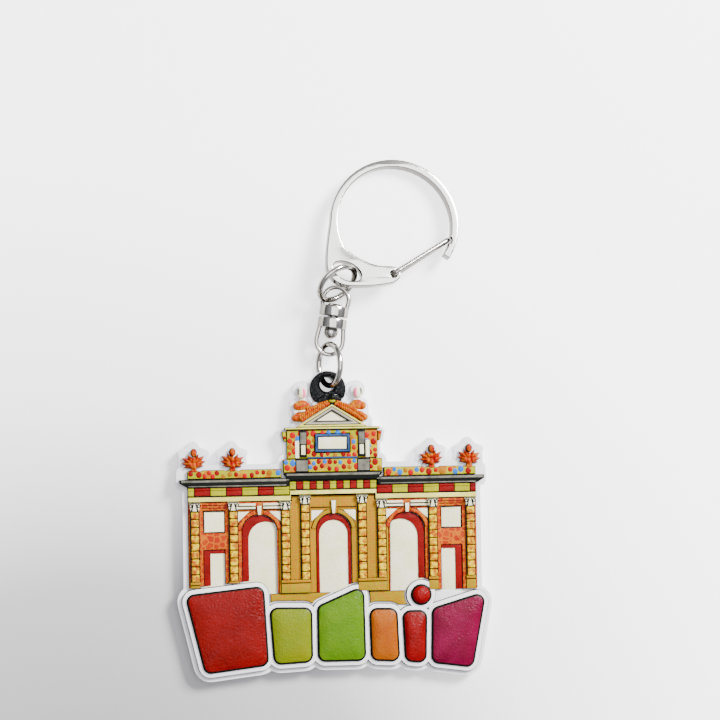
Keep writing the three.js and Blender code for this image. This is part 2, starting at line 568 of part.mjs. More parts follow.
// A collar with a U of strap, whose bar stands past the collar's end.
function yoke(past, up) {
  const reach = collarEnd + past;
  const middle = up * (COLLAR.gap / 2 + COLLAR.height / 2);
  const collar = new THREE.CylinderGeometry(COLLAR.radius, COLLAR.radius, COLLAR.height, 32);
  collar.translate(0, middle, 0);
  const bore = new THREE.CylinderGeometry(COLLAR.bore, COLLAR.bore, COLLAR.height + 2, 24);
  bore.translate(0, middle, 0);
  const inner = YOKE.half - 0.3;
  const bend = reach - YOKE.half;
  const curve = new THREE.CatmullRomCurve3([
    new THREE.Vector3(-inner, middle, 0),
    new THREE.Vector3(-YOKE.half, up * (bend * 0.75), 0),
    new THREE.Vector3(-YOKE.half * 0.98, up * bend, 0),
    new THREE.Vector3(-YOKE.half * 0.68, up * (bend + YOKE.half * 0.75), 0),
    new THREE.Vector3(0, up * reach, 0),
    new THREE.Vector3(YOKE.half * 0.68, up * (bend + YOKE.half * 0.75), 0),
    new THREE.Vector3(YOKE.half * 0.98, up * bend, 0),
    new THREE.Vector3(YOKE.half, up * (bend * 0.75), 0),
    new THREE.Vector3(inner, middle, 0),
  ]);
  const half = [YOKE.strapThick / 2, YOKE.strapWide / 2];
  const section = rounded(box(-half[0], -half[1], half[0], half[1]), 0.35, 0, 3);
  return cut(join(collar, rod(curve, section, 28)), bore);
}

// The upper half is turned a little on the rivet, so that its left leg lies lower than its right.
const upperYoke = add('swivel_upper', yoke(YOKE.upper, 1), steel(), swivel);
upperYoke.rotation.y = -radians(SWIVEL.roll);
add('swivel_lower', yoke(YOKE.lower, -1), steel(), swivel);

function rivet() {
  const ballY = -collarEnd - RIVET.play - Math.sqrt(RIVET.ball ** 2 - COLLAR.bore ** 2);
  const meet = ballY + Math.sqrt(RIVET.ball ** 2 - RIVET.radius ** 2);
  const headFoot = collarEnd + RIVET.play;
  const profile = [new THREE.Vector2(0, ballY - RIVET.ball)];
  const last = Math.atan2(meet - ballY, RIVET.radius);
  for (let step = 1; step <= 8; step += 1) {
    const angle = -Math.PI / 2 + ((last + Math.PI / 2) * step) / 8;
    profile.push(new THREE.Vector2(RIVET.ball * Math.cos(angle), ballY + RIVET.ball * Math.sin(angle)));
  }
  profile.push(new THREE.Vector2(RIVET.radius, headFoot), new THREE.Vector2(RIVET.head, headFoot));
  profile.push(new THREE.Vector2(RIVET.head - 0.3, headFoot + RIVET.headThick));
  profile.push(new THREE.Vector2(0, headFoot + RIVET.headThick));
  return new THREE.LatheGeometry(profile, 24);
}
add('swivel_rivet', rivet(), steel(), swivel);

// ---------------------------------------------------------------- snap hook

const hook = new THREE.Group();
hook.position.set(HOOK.x, HOOK.y, HOOK.z);
hook.rotation.set(-radians(HOOK.tilt), radians(HOOK.sway), 0);
top.add(hook);

const onBow = (radius, degrees) => [
  BOW.x + radius * Math.cos(radians(degrees)), BOW.y + radius * Math.sin(radians(degrees)),
];

// Where the gate's closed end rests, just inside the bow.
const gateSeat = onBow(BOW.inner - GATE.seatInset, GATE.seat);

// The flat of the hook: the bow's outer circle, the round shoulder about the eye, the nose, then back
// along the inner circle to the tip.
function hookOutline() {
  const shape = new THREE.Shape();
  const tip = radians(BOW.tip);
  shape.absarc(BOW.x, BOW.y, BOW.outer, tip, radians(178), false);
  shape.bezierCurveTo(-3.5, 7.5, -4.2, 3.5, -4.05, 1.0);
  shape.bezierCurveTo(-3.9, -1.4, -1.9, -2.9, 0.6, -2.95);
  shape.bezierCurveTo(3.4, -3.05, 6.6, -2.9, 9.5, -2.2);
  shape.absarc(GATE.x, GATE.y, 1.45, radians(-75), radians(60), false);
  shape.bezierCurveTo(9.2, 1.3, 7.6, 0.9, 6.2, 1.2);
  const [joinX, joinY] = onBow(BOW.inner, 205);
  shape.bezierCurveTo(3.6, 1.8, 1.0, 3.3, joinX, joinY);
  shape.absarc(BOW.x, BOW.y, BOW.inner, radians(205), tip, true);
  shape.closePath();
  return shape;
}

function hookBody() {
  const half = HOOK.thickness / 2;
  const flat = slab(hookOutline(), -half, half, 14);
  const eye = new THREE.Shape();
  eye.absellipse(0, 0, EYE.long, EYE.short, 0, 2 * Math.PI, false, radians(EYE.turn));
  const pivot = slab(disc(GATE.x, GATE.y, GATE.wire + GATE.play, 16), -9, 9);
  const seat = slab(disc(gateSeat[0], gateSeat[1], GATE.wire + 1.5 * GATE.play, 16), -9, 9);
  return cut(flat, slab(eye, -9, 9, 14), pivot, seat);
}
add('hook_body', hookBody(), steel(), hook);

// One wire: a leg on each face of the nose, joined at the closed end and turned into the pivot hole.
function hookGate() {
  const along = new THREE.Vector2(gateSeat[0] - GATE.x, gateSeat[1] - GATE.y);
  const length = along.length();
  const section = disc(0, 0, GATE.wire, 8);
  const path = new THREE.CatmullRomCurve3([
    [0, 0.2], [0, GATE.spread - 0.5], [0.35, GATE.spread], [1.4, GATE.spread - 0.05],
    [length * 0.5, (GATE.spread + GATE.closedSpread) / 2], [length - 1.2, GATE.closedSpread],
    [length - 0.3, GATE.closedSpread * 0.75], [length, 0],
    [length - 0.3, -GATE.closedSpread * 0.75], [length - 1.2, -GATE.closedSpread],
    [length * 0.5, -(GATE.spread + GATE.closedSpread) / 2], [1.4, -GATE.spread + 0.05],
    [0.35, -GATE.spread], [0, -GATE.spread + 0.5], [0, -0.2],
  ].map(([u, w]) => new THREE.Vector3(u, 0, w)));
  const geometry = rod(path, section, 64);
  geometry.rotateZ(Math.atan2(along.y, along.x));
  return geometry.translate(GATE.x, GATE.y, 0);
}
add('hook_gate', hookGate(), steel(), hook);

// ---------------------------------------------------------------- origin

const bounds = new THREE.Box3().setFromObject(keychain, true);
const middle = bounds.getCenter(new THREE.Vector3());
keychain.position.set(-middle.x, -middle.y, -bounds.min.z);

export default keychain;
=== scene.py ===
"""Looks for a souvenir keychain: a moulded arch charm, two jump rings, a barrel swivel and a snap hook.

The charm is drawn in millimetres from its middle line (x) and its ground line (y), as on a maker's
drawing, and spot() turns that into the frame's metres. Heights above the table come from the frame.
Every raised feature is a slab: its outline is carried up a rounded profile and closed by flat faces.
"""
import json
import math

import bmesh
import bpy
import numpy as np
from mathutils import Matrix, Vector
from mathutils.geometry import tessellate_polygon


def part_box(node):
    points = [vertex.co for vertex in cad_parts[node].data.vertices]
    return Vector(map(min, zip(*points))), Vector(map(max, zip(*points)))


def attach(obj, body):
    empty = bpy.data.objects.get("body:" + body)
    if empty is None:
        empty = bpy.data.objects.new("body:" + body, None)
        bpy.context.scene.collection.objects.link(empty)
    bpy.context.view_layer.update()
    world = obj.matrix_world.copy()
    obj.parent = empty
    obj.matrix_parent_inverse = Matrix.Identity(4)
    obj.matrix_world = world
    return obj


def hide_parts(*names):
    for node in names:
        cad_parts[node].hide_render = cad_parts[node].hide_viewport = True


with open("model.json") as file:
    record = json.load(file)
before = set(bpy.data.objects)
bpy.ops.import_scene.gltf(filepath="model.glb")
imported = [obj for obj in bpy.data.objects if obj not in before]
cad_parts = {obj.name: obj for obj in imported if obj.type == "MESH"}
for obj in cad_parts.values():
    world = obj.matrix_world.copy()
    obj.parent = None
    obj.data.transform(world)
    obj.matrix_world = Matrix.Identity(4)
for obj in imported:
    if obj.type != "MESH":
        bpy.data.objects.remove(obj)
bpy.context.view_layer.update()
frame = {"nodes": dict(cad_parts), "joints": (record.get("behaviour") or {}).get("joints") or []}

MM = 0.001
rng = np.random.default_rng(7)
joints = {joint["name"]: joint for joint in frame["joints"]}


def low(node):
    """A node's lowest corner at rest, in metres."""
    return np.array(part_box(node)[0])


def high(node):
    """A node's highest corner at rest, in metres."""
    return np.array(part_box(node)[1])


MIDDLE = (low("facade_centre")[0] + high("facade_centre")[0]) / 2
GROUND = low("column_8")[1]
PLATE_TOP = low("facade_centre")[2]


def spot(points):
    """Charm millimetres to frame metres: scaled, then moved to the middle line and the ground line."""
    return np.asarray(points, float) * MM + np.array([MIDDLE, GROUND])


# ---------------------------------------------------------------- outlines


def node_points(node, turn=None):
    """A CAD node's corners and triangles, its corners turned into another set of axes if asked."""
    mesh = frame["nodes"][node].data
    points = np.empty(len(mesh.vertices) * 3)
    mesh.vertices.foreach_get("co", points)
    points = points.reshape(-1, 3)
    if turn is not None:
        points = points @ turn.T
    triangles = np.array([list(face.vertices) for face in mesh.polygons])
    return points, triangles


def outlines_of(node, top=True, turn=None):
    """The closed outlines of a node's flat top (or bottom), with the material on their left.

    Faces lying in that plane keep the edges that no neighbour shares, and those edges are chained.
    """
    points, triangles = node_points(node, turn)
    level = points[:, 2].max() if top else points[:, 2].min()
    flat = np.all(np.abs(points[triangles][:, :, 2] - level) < 2e-6, axis=1)
    keys = [tuple(point) for point in np.round(points[:, :2] * 1e6).astype(int)]
    edges = set()
    for face in triangles[flat]:
        ring = [keys[i] for i in (face if top else face[::-1])]
        edges.update((ring[i], ring[(i + 1) % 3]) for i in range(3) if ring[i] != ring[(i + 1) % 3])
    onward = {a: b for a, b in edges if (b, a) not in edges}
    loops = []
    while onward:
        start, here = onward.popitem()
        loop = [start]
        while here != start and here in onward:
            loop.append(here)
            here = onward.pop(here)
        loops.append(np.array(loop, float) * 1e-6)
    loops = [tidy(loop) for loop in loops if len(loop) > 2]
    return sorted(loops, key=lambda loop: -abs(area(loop)))


def area(loop):
    """The signed area in an outline: positive where it turns to the left."""
    x, y = loop[:, 0], loop[:, 1]
    return 0.5 * np.sum(x * np.roll(y, -1) - np.roll(x, -1) * y)


def tidy(loop, closest=0.00003):
    """Drops corners that sit on top of the one before."""
    steps = np.linalg.norm(loop - np.roll(loop, 1, axis=0), axis=1)
    return loop[steps > closest]


def finer(loop, rounds=1, sharp=math.radians(38), longest=0.0016):
    """Puts a point in the middle of each short edge of a round stretch, bulged out by the arc's sagitta,
    which is the chord times the mean turn at its two ends, over 8. Sharp corners and long edges stay."""
    for _ in range(rounds):
        edge = np.roll(loop, -1, axis=0) - loop
        length = np.linalg.norm(edge, axis=1)
        heading = np.arctan2(edge[:, 1], edge[:, 0])
        turn = (heading - np.roll(heading, 1) + math.pi) % (2 * math.pi) - math.pi
        turn = np.where(np.abs(turn) < sharp, turn, 0.0)
        bulge = np.where(length < longest, length * (turn + np.roll(turn, -1)) / 16, 0.0)
        outward = np.stack([edge[:, 1], -edge[:, 0]], 1) / length[:, None]
        between = loop + edge / 2 + outward * bulge[:, None]
        keep = np.ones((len(loop), 2), bool)
        keep[:, 1] = (length < longest) & (np.abs(turn) + np.abs(np.roll(turn, -1)) > 0)
        loop = np.stack([loop, between], 1)[keep]
    return loop


def inset(loop, distance):
    """The loop moved to its left by a distance, each corner along its mitre."""
    edge = np.roll(loop, -1, axis=0) - loop
    edge /= np.linalg.norm(edge, axis=1)[:, None]
    after = np.stack([-edge[:, 1], edge[:, 0]], 1)
    before = np.roll(after, 1, axis=0)
    mitre = (after + before) / np.maximum(1 + np.sum(after * before, 1), 0.35)[:, None]
    return loop + mitre * distance


def box_loop(x0, y0, x1, y1, corner=0.0, steps=4):
    """A rectangle in charm millimetres with round corners: a quarter circle at each corner."""
    if corner <= 0:
        return spot([(x0, y0), (x1, y0), (x1, y1), (x0, y1)])
    centres = [(x1 - corner, y0 + corner), (x1 - corner, y1 - corner), (x0 + corner, y1 - corner),
               (x0 + corner, y0 + corner)]
    points = []
    for quarter, (cx, cy) in enumerate(centres):
        angles = math.radians(90) * (quarter - 1 + np.linspace(0, 1, steps + 1))
        points.append(np.stack([cx + corner * np.cos(angles), cy + corner * np.sin(angles)], 1))
    return spot(np.concatenate(points))


def disc_loop(x, y, rx, ry=None, steps=20, turn=0.0):
    """An ellipse in charm millimetres, turned by an angle."""
    angles = np.linspace(0, 2 * math.pi, steps, endpoint=False)
    across, along = rx * np.cos(angles), (ry or rx) * np.sin(angles)
    c, s = math.cos(turn), math.sin(turn)
    return spot(np.stack([x + across * c - along * s, y + across * s + along * c], 1))


# ---------------------------------------------------------------- solids


class Mould:
    """Gathers closed shells into one mesh. Each face keeps the number of its material."""

    def __init__(self):
        self.points, self.faces, self.kinds, self.count = [], [], [], 0

    def shell(self, points, faces, kinds):
        self.points.append(np.asarray(points, float))
        self.faces += [tuple(int(i) + self.count for i in face) for face in faces]
        self.kinds += list(kinds) if np.ndim(kinds) else [kinds] * len(faces)
        self.count += len(points)

    def slab(self, loops, bottom, top, edge=0.00015, kind=0, side=None, steps=3):
        """Outlines carried up a profile: straight walls, then a quarter circle of the edge's radius."""
        side = kind if side is None else side
        loops = loops if isinstance(loops, list) else [loops]
        angles = np.linspace(0, math.pi / 2, steps + 1)
        levels = [(0.0, bottom)]
        levels += [(edge * (1 - math.cos(angle)), top - edge * (1 - math.sin(angle))) for angle in angles]
        points, faces, kinds, start, rims, soles = [], [], [], 0, [], []
        for loop in loops:
            count = len(loop)
            for number, (inward, z) in enumerate(levels):
                ring = inset(loop, inward) if inward > 0 else loop
                points.append(np.column_stack([ring, np.full(count, z)]))
                if number:
                    a = start + (number - 1) * count + np.arange(count)
                    b = start + (number - 1) * count + np.roll(np.arange(count), -1)
                    faces += list(zip(a, b, b + count, a + count))
                    kinds += [side if number < len(levels) - 1 else kind] * count
            soles.append(start + np.arange(count))
            start += count * len(levels)
            rims.append(start - count + np.arange(count))
        stack = np.concatenate(points)
        for group, flip in ((rims, False), (soles, True)):
            flat = np.concatenate(group)
            for triangle in tessellate_polygon([[Vector(stack[i]) for i in ring] for ring in group]):
                corners = [flat[i] for i in triangle]
                a, b, c = (stack[i][:2] for i in corners)
                upward = (b[0] - a[0]) * (c[1] - a[1]) - (b[1] - a[1]) * (c[0] - a[0]) > 0
                faces.append(corners if upward != flip else corners[::-1])
                kinds.append(kind)
        self.shell(stack, faces, kinds)
        return self

    def pillow(self, loop, bottom, top, rise, kind=0, side=1, lip=0.0004, rings=7, fullness=3.0):
        """A cushion top on a convex outline: a thin dark lip, then rings shrinking to the middle whose
        height is rise times one minus the shrink to a power, so it is steep at the rim and flat inside."""
        middle = loop.mean(0)
        inner = inset(loop, lip)
        rows = [(loop, bottom, side), (loop, top - lip * 0.4, side), (inset(loop, lip * 0.5), top, side),
                (inner, top + lip * 0.2, side)]
        for s in np.linspace(0, 1, rings + 1)[1:-1]:
            shrink = 1 - s ** 1.6
            height = rise * (1 - shrink ** fullness)
            rows.append((middle + (inner - middle) * shrink, top + lip * 0.2 + height, kind))
        count = len(loop)
        points = [np.column_stack([ring, np.full(count, z)]) for ring, z, _ in rows]
        index = np.arange(count)
        faces, kinds = [], []
        for number in range(1, len(rows)):
            a, b = (number - 1) * count + index, (number - 1) * count + np.roll(index, -1)
            faces += list(zip(a, b, b + count, a + count))
            kinds += [rows[number][2]] * count
        points.append([[*middle, top + lip * 0.2 + rise], [*middle, bottom]])
        last, tip = (len(rows) - 1) * count, len(rows) * count
        faces += [(last + i, last + (i + 1) % count, tip) for i in range(count)]
        faces += [((i + 1) % count, i, tip + 1) for i in range(count)]
        kinds += [kind] * count + [side] * count
        self.shell(np.concatenate(points), faces, kinds)
        return self

    def dome(self, x, y, rx, ry, bottom, rise, kind=0, turn=0.0, around=16, up=4):
        """A flattened ellipsoid cap in charm millimetres, on a flat floor."""
        rings = [(1.0, 0.0)] + [(math.cos(a), math.sin(a)) for a in np.linspace(0.25, 1.35, up)]
        base = disc_loop(0, 0, rx, ry, around, turn) - spot([(0, 0)])
        centre = spot([(x, y)])[0]
        points = [np.column_stack([centre + base * shrink, np.full(around, bottom + rise * lift)])
                  for shrink, lift in rings]
        index = np.arange(around)
        faces = []
        for number in range(1, len(rings)):
            a, b = (number - 1) * around + index, (number - 1) * around + np.roll(index, -1)
            faces += list(zip(a, b, b + around, a + around))
        faces += [tuple((len(rings) - 1) * around + index), tuple(index[::-1])]
        self.shell(np.concatenate(points), faces, kind)
        return self

    def sweep(self, path, section, up=(0, 0, 1), closed=False, kind=0):
        """A section (metres, across and up) carried along a path; each station's axes come from the
        path's heading and the up direction. Open ends are closed by flat caps. The section may be one
        outline, or one for every station."""
        path, up = np.asarray(path, float), np.asarray(up, float)
        heading = np.gradient(path, axis=0)
        if closed:
            heading = np.roll(path, -1, axis=0) - np.roll(path, 1, axis=0)
        heading /= np.linalg.norm(heading, axis=1)[:, None]
        across = np.cross(heading, up)
        across /= np.linalg.norm(across, axis=1)[:, None]
        lift = np.cross(across, heading)
        section = np.asarray(section, float)
        if section.ndim == 2:
            section = np.repeat(section[None], len(path), axis=0)
        stations = path[:, None] + section[:, :, :1] * across[:, None] + section[:, :, 1:] * lift[:, None]
        rows, count = stations.shape[:2]
        index = np.arange(count)
        faces = []
        for row in range(rows if closed else rows - 1):
            a, b = row * count + index, ((row + 1) % rows) * count + index
            faces += list(zip(a, b, np.roll(b, -1), np.roll(a, -1)))
        if not closed:
            faces += [tuple(index), tuple(((rows - 1) * count + index)[::-1])]
        self.shell(stations.reshape(-1, 3), faces, kind)
        return self

    def lathe(self, profile, centre, axis, around=48, kind=0):
        """A closed profile (radius, distance along the axis) turned about an axis."""
        axis = np.asarray(axis, float) / np.linalg.norm(axis)
        side = np.cross(axis, (0.3, 0.1, 0.9))
        side /= np.linalg.norm(side)
        other = np.cross(axis, side)
        profile = np.asarray(profile, float)
        angles = np.linspace(0, 2 * math.pi, around, endpoint=False)
        wheel = np.cos(angles)[:, None] * side + np.sin(angles)[:, None] * other
        rings = centre + profile[:, 1, None, None] * axis + profile[:, 0, None, None] * wheel[None]
        index = np.arange(around)
        faces = []
        for row in range(len(profile)):
            a, b = row * around + index, ((row + 1) % len(profile)) * around + index
            faces += list(zip(a, np.roll(a, -1), np.roll(b, -1), b))
        self.shell(rings.reshape(-1, 3), faces, kind)
        return self

    def build(self, name, materials, body="charm", slot=None, replaces=(), smooth=math.radians(42),
              turn=None):
        """Makes the object, checks which way its shells face, and hides the imported parts it replaces."""
        points = np.concatenate(self.points)
        if turn is not None:
            points = points @ turn
        mesh = bpy.data.meshes.new(name)
        mesh.from_pydata(points.tolist(), [], self.faces)
        for material in materials:
            mesh.materials.append(material)
        mesh.polygons.foreach_set("material_index", self.kinds)
        mesh.update()
        face_outwards(mesh)
        piece = bpy.data.objects.new(name, mesh)
        bpy.context.collection.objects.link(piece)
        mesh.polygons.foreach_set("use_smooth", [True] * len(mesh.polygons))
        mesh.set_sharp_from_angle(angle=smooth)
        # metal pieces store how far each face leans up, which paints reflection into their base colour
        if METALS.intersection(materials):
            store_painted_reflection_tone(mesh)
        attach(piece, body)
        if replaces:
            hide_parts(*replaces)
        return piece


def store_painted_reflection_tone(mesh):
    """Gives every face corner how far its normal leans up: 1 on top, 0.5 on upright walls, 0 below. The
    metals turn it into painted reflection in their base colour: bright tops, dark walls.
    """
    normals = np.empty(len(mesh.loops) * 3)
    mesh.corner_normals.foreach_get("vector", normals)
    tone = mesh.attributes.new("tone", "FLOAT", "CORNER")
    tone.data.foreach_set("value", 0.5 + 0.5 * normals.reshape(-1, 3)[:, 2])


def face_outwards(mesh):
    """Turns every closed shell so that its faces point out, by the sign of the space it holds."""
    sheet = bmesh.new()
    sheet.from_mesh(mesh)
    seen = set()
    for seed in sheet.faces:
        if seed in seen:
            continue
        shell, todo = [], [seed]
        seen.add(seed)
        while todo:
            face = todo.pop()
            shell.append(face)
            for edge in face.edges:
                for other in edge.link_faces:
                    if other not in seen:
                        seen.add(other)
                        todo.append(other)
        held = 0.0
        for face in shell:
            corners = [corner.vert.co for corner in face.loops]
            for i in range(1, len(corners) - 1):
                held += corners[0].dot(corners[i].cross(corners[i + 1]))
        if held < 0:
            bmesh.ops.reverse_faces(sheet, faces=shell)
    sheet.to_mesh(mesh)
    sheet.free()


# ---------------------------------------------------------------- materials


class Finish:
    """A Principled material with a short way to add nodes."""

    def __init__(self, name, colour, rough=0.4, metal=0.0, specular=0.1):
        self.material = bpy.data.materials.new(name)
        self.material.use_nodes = True
        self.tree = self.material.node_tree
        self.shader = self.tree.nodes["Principled BSDF"]
        self.set(self.shader, "Base Color", (*colour, 1))
        self.set(self.shader, "Roughness", rough)
        self.set(self.shader, "Metallic", metal)
        self.set(self.shader, "Specular IOR Level", specular)
        self.place = self.add("ShaderNodeTexCoord").outputs["Object"]

    def set(self, node, socket, value):
        node.inputs[socket].default_value = value

    def add(self, kind, **values):
        node = self.tree.nodes.new(kind)
        for key, value in values.items():
            if key in node.inputs:
                node.inputs[key].default_value = value
            else:
                setattr(node, key, value)
        return node

    def link(self, output, socket):
        self.tree.links.new(output, socket)

    def noise(self, size, detail=3.0, rough=0.55):
        """Noise whose lumps are about size metres."""
        node = self.add("ShaderNodeTexNoise", Scale=1 / size, Detail=detail, Roughness=rough)
        self.link(self.place, node.inputs["Vector"])
        return node.outputs["Fac"]

    def cells(self, size, feature="F1", stretch=(1, 1, 1), randomness=1.0):
        """Voronoi cells about size metres across."""
        node = self.add("ShaderNodeTexVoronoi", feature=feature, Scale=1 / size, Randomness=randomness)
        scaled = self.add("ShaderNodeMapping", Scale=stretch)
        self.link(self.place, scaled.inputs["Vector"])
        self.link(scaled.outputs["Vector"], node.inputs["Vector"])
        return node

    def ramp(self, value, stops, sharp=False):
        """Colours at places from 0 to 1, run together or, if sharp, in steps."""
        node = self.add("ShaderNodeValToRGB")
        node.color_ramp.interpolation = "CONSTANT" if sharp else "LINEAR"
        elements = node.color_ramp.elements
        while len(elements) < len(stops):
            elements.new(1.0)
        for element, (place, colour) in zip(elements, stops):
            element.position = place
            element.color = (*colour, 1)
        self.link(value, node.inputs["Fac"])
        return node.outputs["Color"]

    def blend(self, amount, first, second):
        """Mixes two colours by an amount. Each may be a value or another node's output."""
        node = self.add("ShaderNodeMix", data_type="RGBA")
        for value, socket in ((amount, 0), (first, 6), (second, 7)):
            if hasattr(value, "is_linked"):
                self.link(value, node.inputs[socket])
            else:
                node.inputs[socket].default_value = value if socket == 0 else (*value, 1)
        return node.outputs[2]

    def colour(self, output):
        self.link(output, self.shader.inputs["Base Color"])
        return self

    def vary(self, colour, other, size, spread=0.18):
        """Slow drift from one colour to another, as uneven pigment."""
        self.colour(self.ramp(self.noise(size), [(0.5 - spread, colour), (0.5 + spread, other)]))
        return self

    def relief(self, size, depth, pebble=0.6):
        """Leather grain: cells with soft valleys, broken up by finer noise, as bump of a real depth."""
        valleys = self.cells(size, "SMOOTH_F1").outputs["Distance"]
        fine = self.noise(size * 0.55, 2.0)
        total = self.add("ShaderNodeMath", operation="MULTIPLY_ADD")
        self.link(valleys, total.inputs[0])
        total.inputs[1].default_value = -pebble
        self.link(fine, total.inputs[2])
        bump = self.add("ShaderNodeBump", Strength=1.0, Distance=depth)
        self.link(total.outputs[0], bump.inputs["Height"])
        self.link(bump.outputs["Normal"], self.shader.inputs["Normal"])
        return self


def tint(red, green, blue):
    """A pigment, as the thousandths of red, green and blue light that it returns."""
    return red / 1000, green / 1000, blue / 1000


INK = Finish("dark_outline", tint(2, 3, 2), 0.45).relief(0.0003, 0.00001).material
WHITE = Finish("white_plastic", tint(860, 840, 880), 0.38, specular=0.3).vary(
    tint(880, 860, 900), tint(800, 780, 840), 0.006).relief(0.0006, 0.00002).material
PAPER = Finish("white_print", tint(880, 800, 560), 0.3, specular=0.2).vary(
    tint(900, 820, 640), tint(760, 740, 420), 0.004).relief(0.00055, 0.00007).material
LINE = Finish("grey_print", tint(119, 116, 92), 0.4).vary(
    tint(178, 168, 140), tint(75, 74, 59), 0.0016).relief(0.0005, 0.00004).material
PALE = Finish("pale_grey_print", tint(372, 335, 276), 0.4).relief(0.0005, 0.00004).material
CREAM = Finish("cream_print", tint(680, 610, 110), 0.35).vary(
    tint(780, 700, 170), tint(560, 520, 70), 0.0022).relief(0.0005, 0.00005).material
RED = Finish("red_print", tint(197, 0, 0), 0.33).vary(
    tint(201, 0, 0), tint(133, 0, 0), 0.003).relief(0.0005, 0.00006).material
LIME = Finish("lime_print", tint(320, 320, 0), 0.35).vary(
    tint(330, 330, 0), tint(270, 250, 0), 0.0025).relief(0.0005, 0.00005).material
BLUE = Finish("blue_print", tint(14, 36, 113), 0.4).vary(
    tint(13, 34, 108), tint(33, 72, 172), 0.002).relief(0.0005, 0.00004).material


PINK = Finish("pink_print", tint(927, 99, 324), 0.35).relief(0.0004, 0.00003).material


def ochre_weave():
    """Small amber buttons on a yellow-green ground, in close rows."""
    finish = Finish("ochre_weave", tint(225, 92, 0), 0.38)
    cells = finish.cells(0.00062, randomness=0.35)
    buttons = finish.ramp(cells.outputs["Distance"], [(0.0, tint(400, 120, 0)), (0.36, tint(360, 140, 0)),
                                                      (0.6, tint(250, 220, 0))])
    drift = finish.ramp(finish.noise(0.003), [(0.35, tint(250, 130, 0)), (0.7, tint(420, 150, 0))])
    return finish.colour(finish.blend(0.35, buttons, drift)).relief(0.0006, 0.00007).material


def orange_stone():
    """Orange stones with thin amber joints."""
    finish = Finish("orange_stone", tint(313, 33, 0), 0.36)
    joint = finish.cells(0.00115, "DISTANCE_TO_EDGE", randomness=0.8).outputs["Distance"]
    tone = finish.ramp(finish.noise(0.0024), [(0.3, tint(289, 12, 0)), (0.7, tint(345, 36, 0))])
    amount = finish.ramp(joint, [(0.03, (1, 1, 1)), (0.12, (0, 0, 0))])
    return finish.colour(finish.blend(amount, tone, tint(445, 108, 0))).relief(0.0006, 0.00008).material


def banded_yellow():
    """Yellow column blocks with ragged orange patches."""
    finish = Finish("column_yellow", tint(511, 307, 0), 0.34)
    patch = finish.ramp(finish.noise(0.0007, 2.0), [(0.4, tint(665, 477, 0)), (0.52, tint(422, 205, 0)),
                                                    (0.66, tint(314, 47, 0))])
    return finish.colour(patch).relief(0.0005, 0.00006).material


def mosaic_ground():
    """Broken tiles in lime, yellow and amber, one flat colour to a tile."""
    finish = Finish("mosaic_ground", tint(188, 169, 0), 0.35)
    tile = finish.add("ShaderNodeSeparateColor")
    finish.link(finish.cells(0.0013, stretch=(1, 0.8, 0.2)).outputs["Color"], tile.inputs[0])
    shades = [(0.0, tint(290, 290, 0)), (0.36, tint(390, 270, 0)), (0.62, tint(400, 130, 0)),
              (0.84, tint(400, 340, 0))]
    return finish.colour(finish.ramp(tile.outputs[0], shades, sharp=True)).relief(0.0005, 0.00005).material


def leaf_flame(name, first, second, third, size):
    """Mottled orange, from a deep shade through a middle one to a light one."""
    finish = Finish(name, second, 0.36)
    mottle = finish.ramp(finish.noise(size, 2.5), [(0.36, first), (0.5, second), (0.64, third)])
    return finish.colour(mottle).relief(0.0005, 0.00008).material


def glitter_black():
    """Near-black with scattered pale flecks."""
    finish = Finish("speckled_black", tint(1, 2, 3), 0.3)
    fleck = finish.ramp(finish.noise(0.00022, 1.0), [(0.6, tint(0, 0, 1)), (0.74, tint(54, 62, 59))])
    return finish.colour(fleck).relief(0.0003, 0.00006).material


def tile_gloss(name, main, deep):
    """Glossy moulded vinyl with a pebbled leather grain."""
    finish = Finish(name, main, 0.24, specular=0.12)
    return finish.vary(main, deep, 0.0045, 0.25).relief(0.00045, 0.00009, 0.8).material


# Painted reflection for flat metal, by how far a face leans up: dark down the walls, bright on top.
FACE_PAINTED_REFLECTION = [(0.0, tint(300, 288, 260)), (0.55, tint(150, 143, 126)), (0.8, tint(110, 104, 88)),
              (0.92, tint(300, 288, 258)), (0.965, tint(850, 838, 810)), (1.0, tint(900, 890, 870))]
# Painted reflection for round wire: dark sides and a painted highlight band just short of the top.
WIRE_PAINTED_REFLECTION = [(0.0, tint(260, 250, 225)), (0.5, tint(150, 142, 122)), (0.74, tint(200, 190, 166)),
              (0.88, tint(380, 365, 330)), (0.95, tint(930, 920, 900)), (1.0, tint(520, 505, 470))]


def nickel(name, rough, painted_reflection_stops, brushed=0.0):
    """Plated steel whose base colour carries painted reflection: bright on its top faces and darker down its
    sides, with fine draw marks as bump. How far a point faces up is stored with the mesh, under tone, and
    picks the painted reflection colour from the stops."""
    finish = Finish(name, tint(860, 850, 830), rough, metal=1.0)
    # the stored lean picks painted reflection: dark walls, bright tops
    tone = finish.add("ShaderNodeAttribute", attribute_name="tone")
    finish.colour(finish.ramp(tone.outputs["Fac"], painted_reflection_stops))
    bump = finish.add("ShaderNodeBump", Strength=0.35, Distance=0.00001 + brushed)
    finish.link(finish.noise(0.0006, 4.0), bump.inputs["Height"])
    finish.link(bump.outputs["Normal"], finish.shader.inputs["Normal"])
    return finish.material


OCHRE = ochre_weave()
ORANGE = orange_stone()
COLUMN = banded_yellow()
MOSAIC = mosaic_ground()
FLAME = leaf_flame("finial_flame", tint(240, 0, 0), tint(370, 34, 0), tint(420, 110, 0), 0.0008)
GARLAND = leaf_flame("garland_orange", tint(340, 20, 0), tint(390, 70, 0), tint(400, 150, 0), 0.0007)
BLACK = glitter_black()
BRIGHT = nickel("bright_nickel", 0.13, FACE_PAINTED_REFLECTION)
SATIN = nickel("satin_nickel", 0.24, WIRE_PAINTED_REFLECTION, 0.00001)
WIRE = nickel("wire_nickel", 0.15, WIRE_PAINTED_REFLECTION)
METALS = {BRIGHT, SATIN, WIRE}

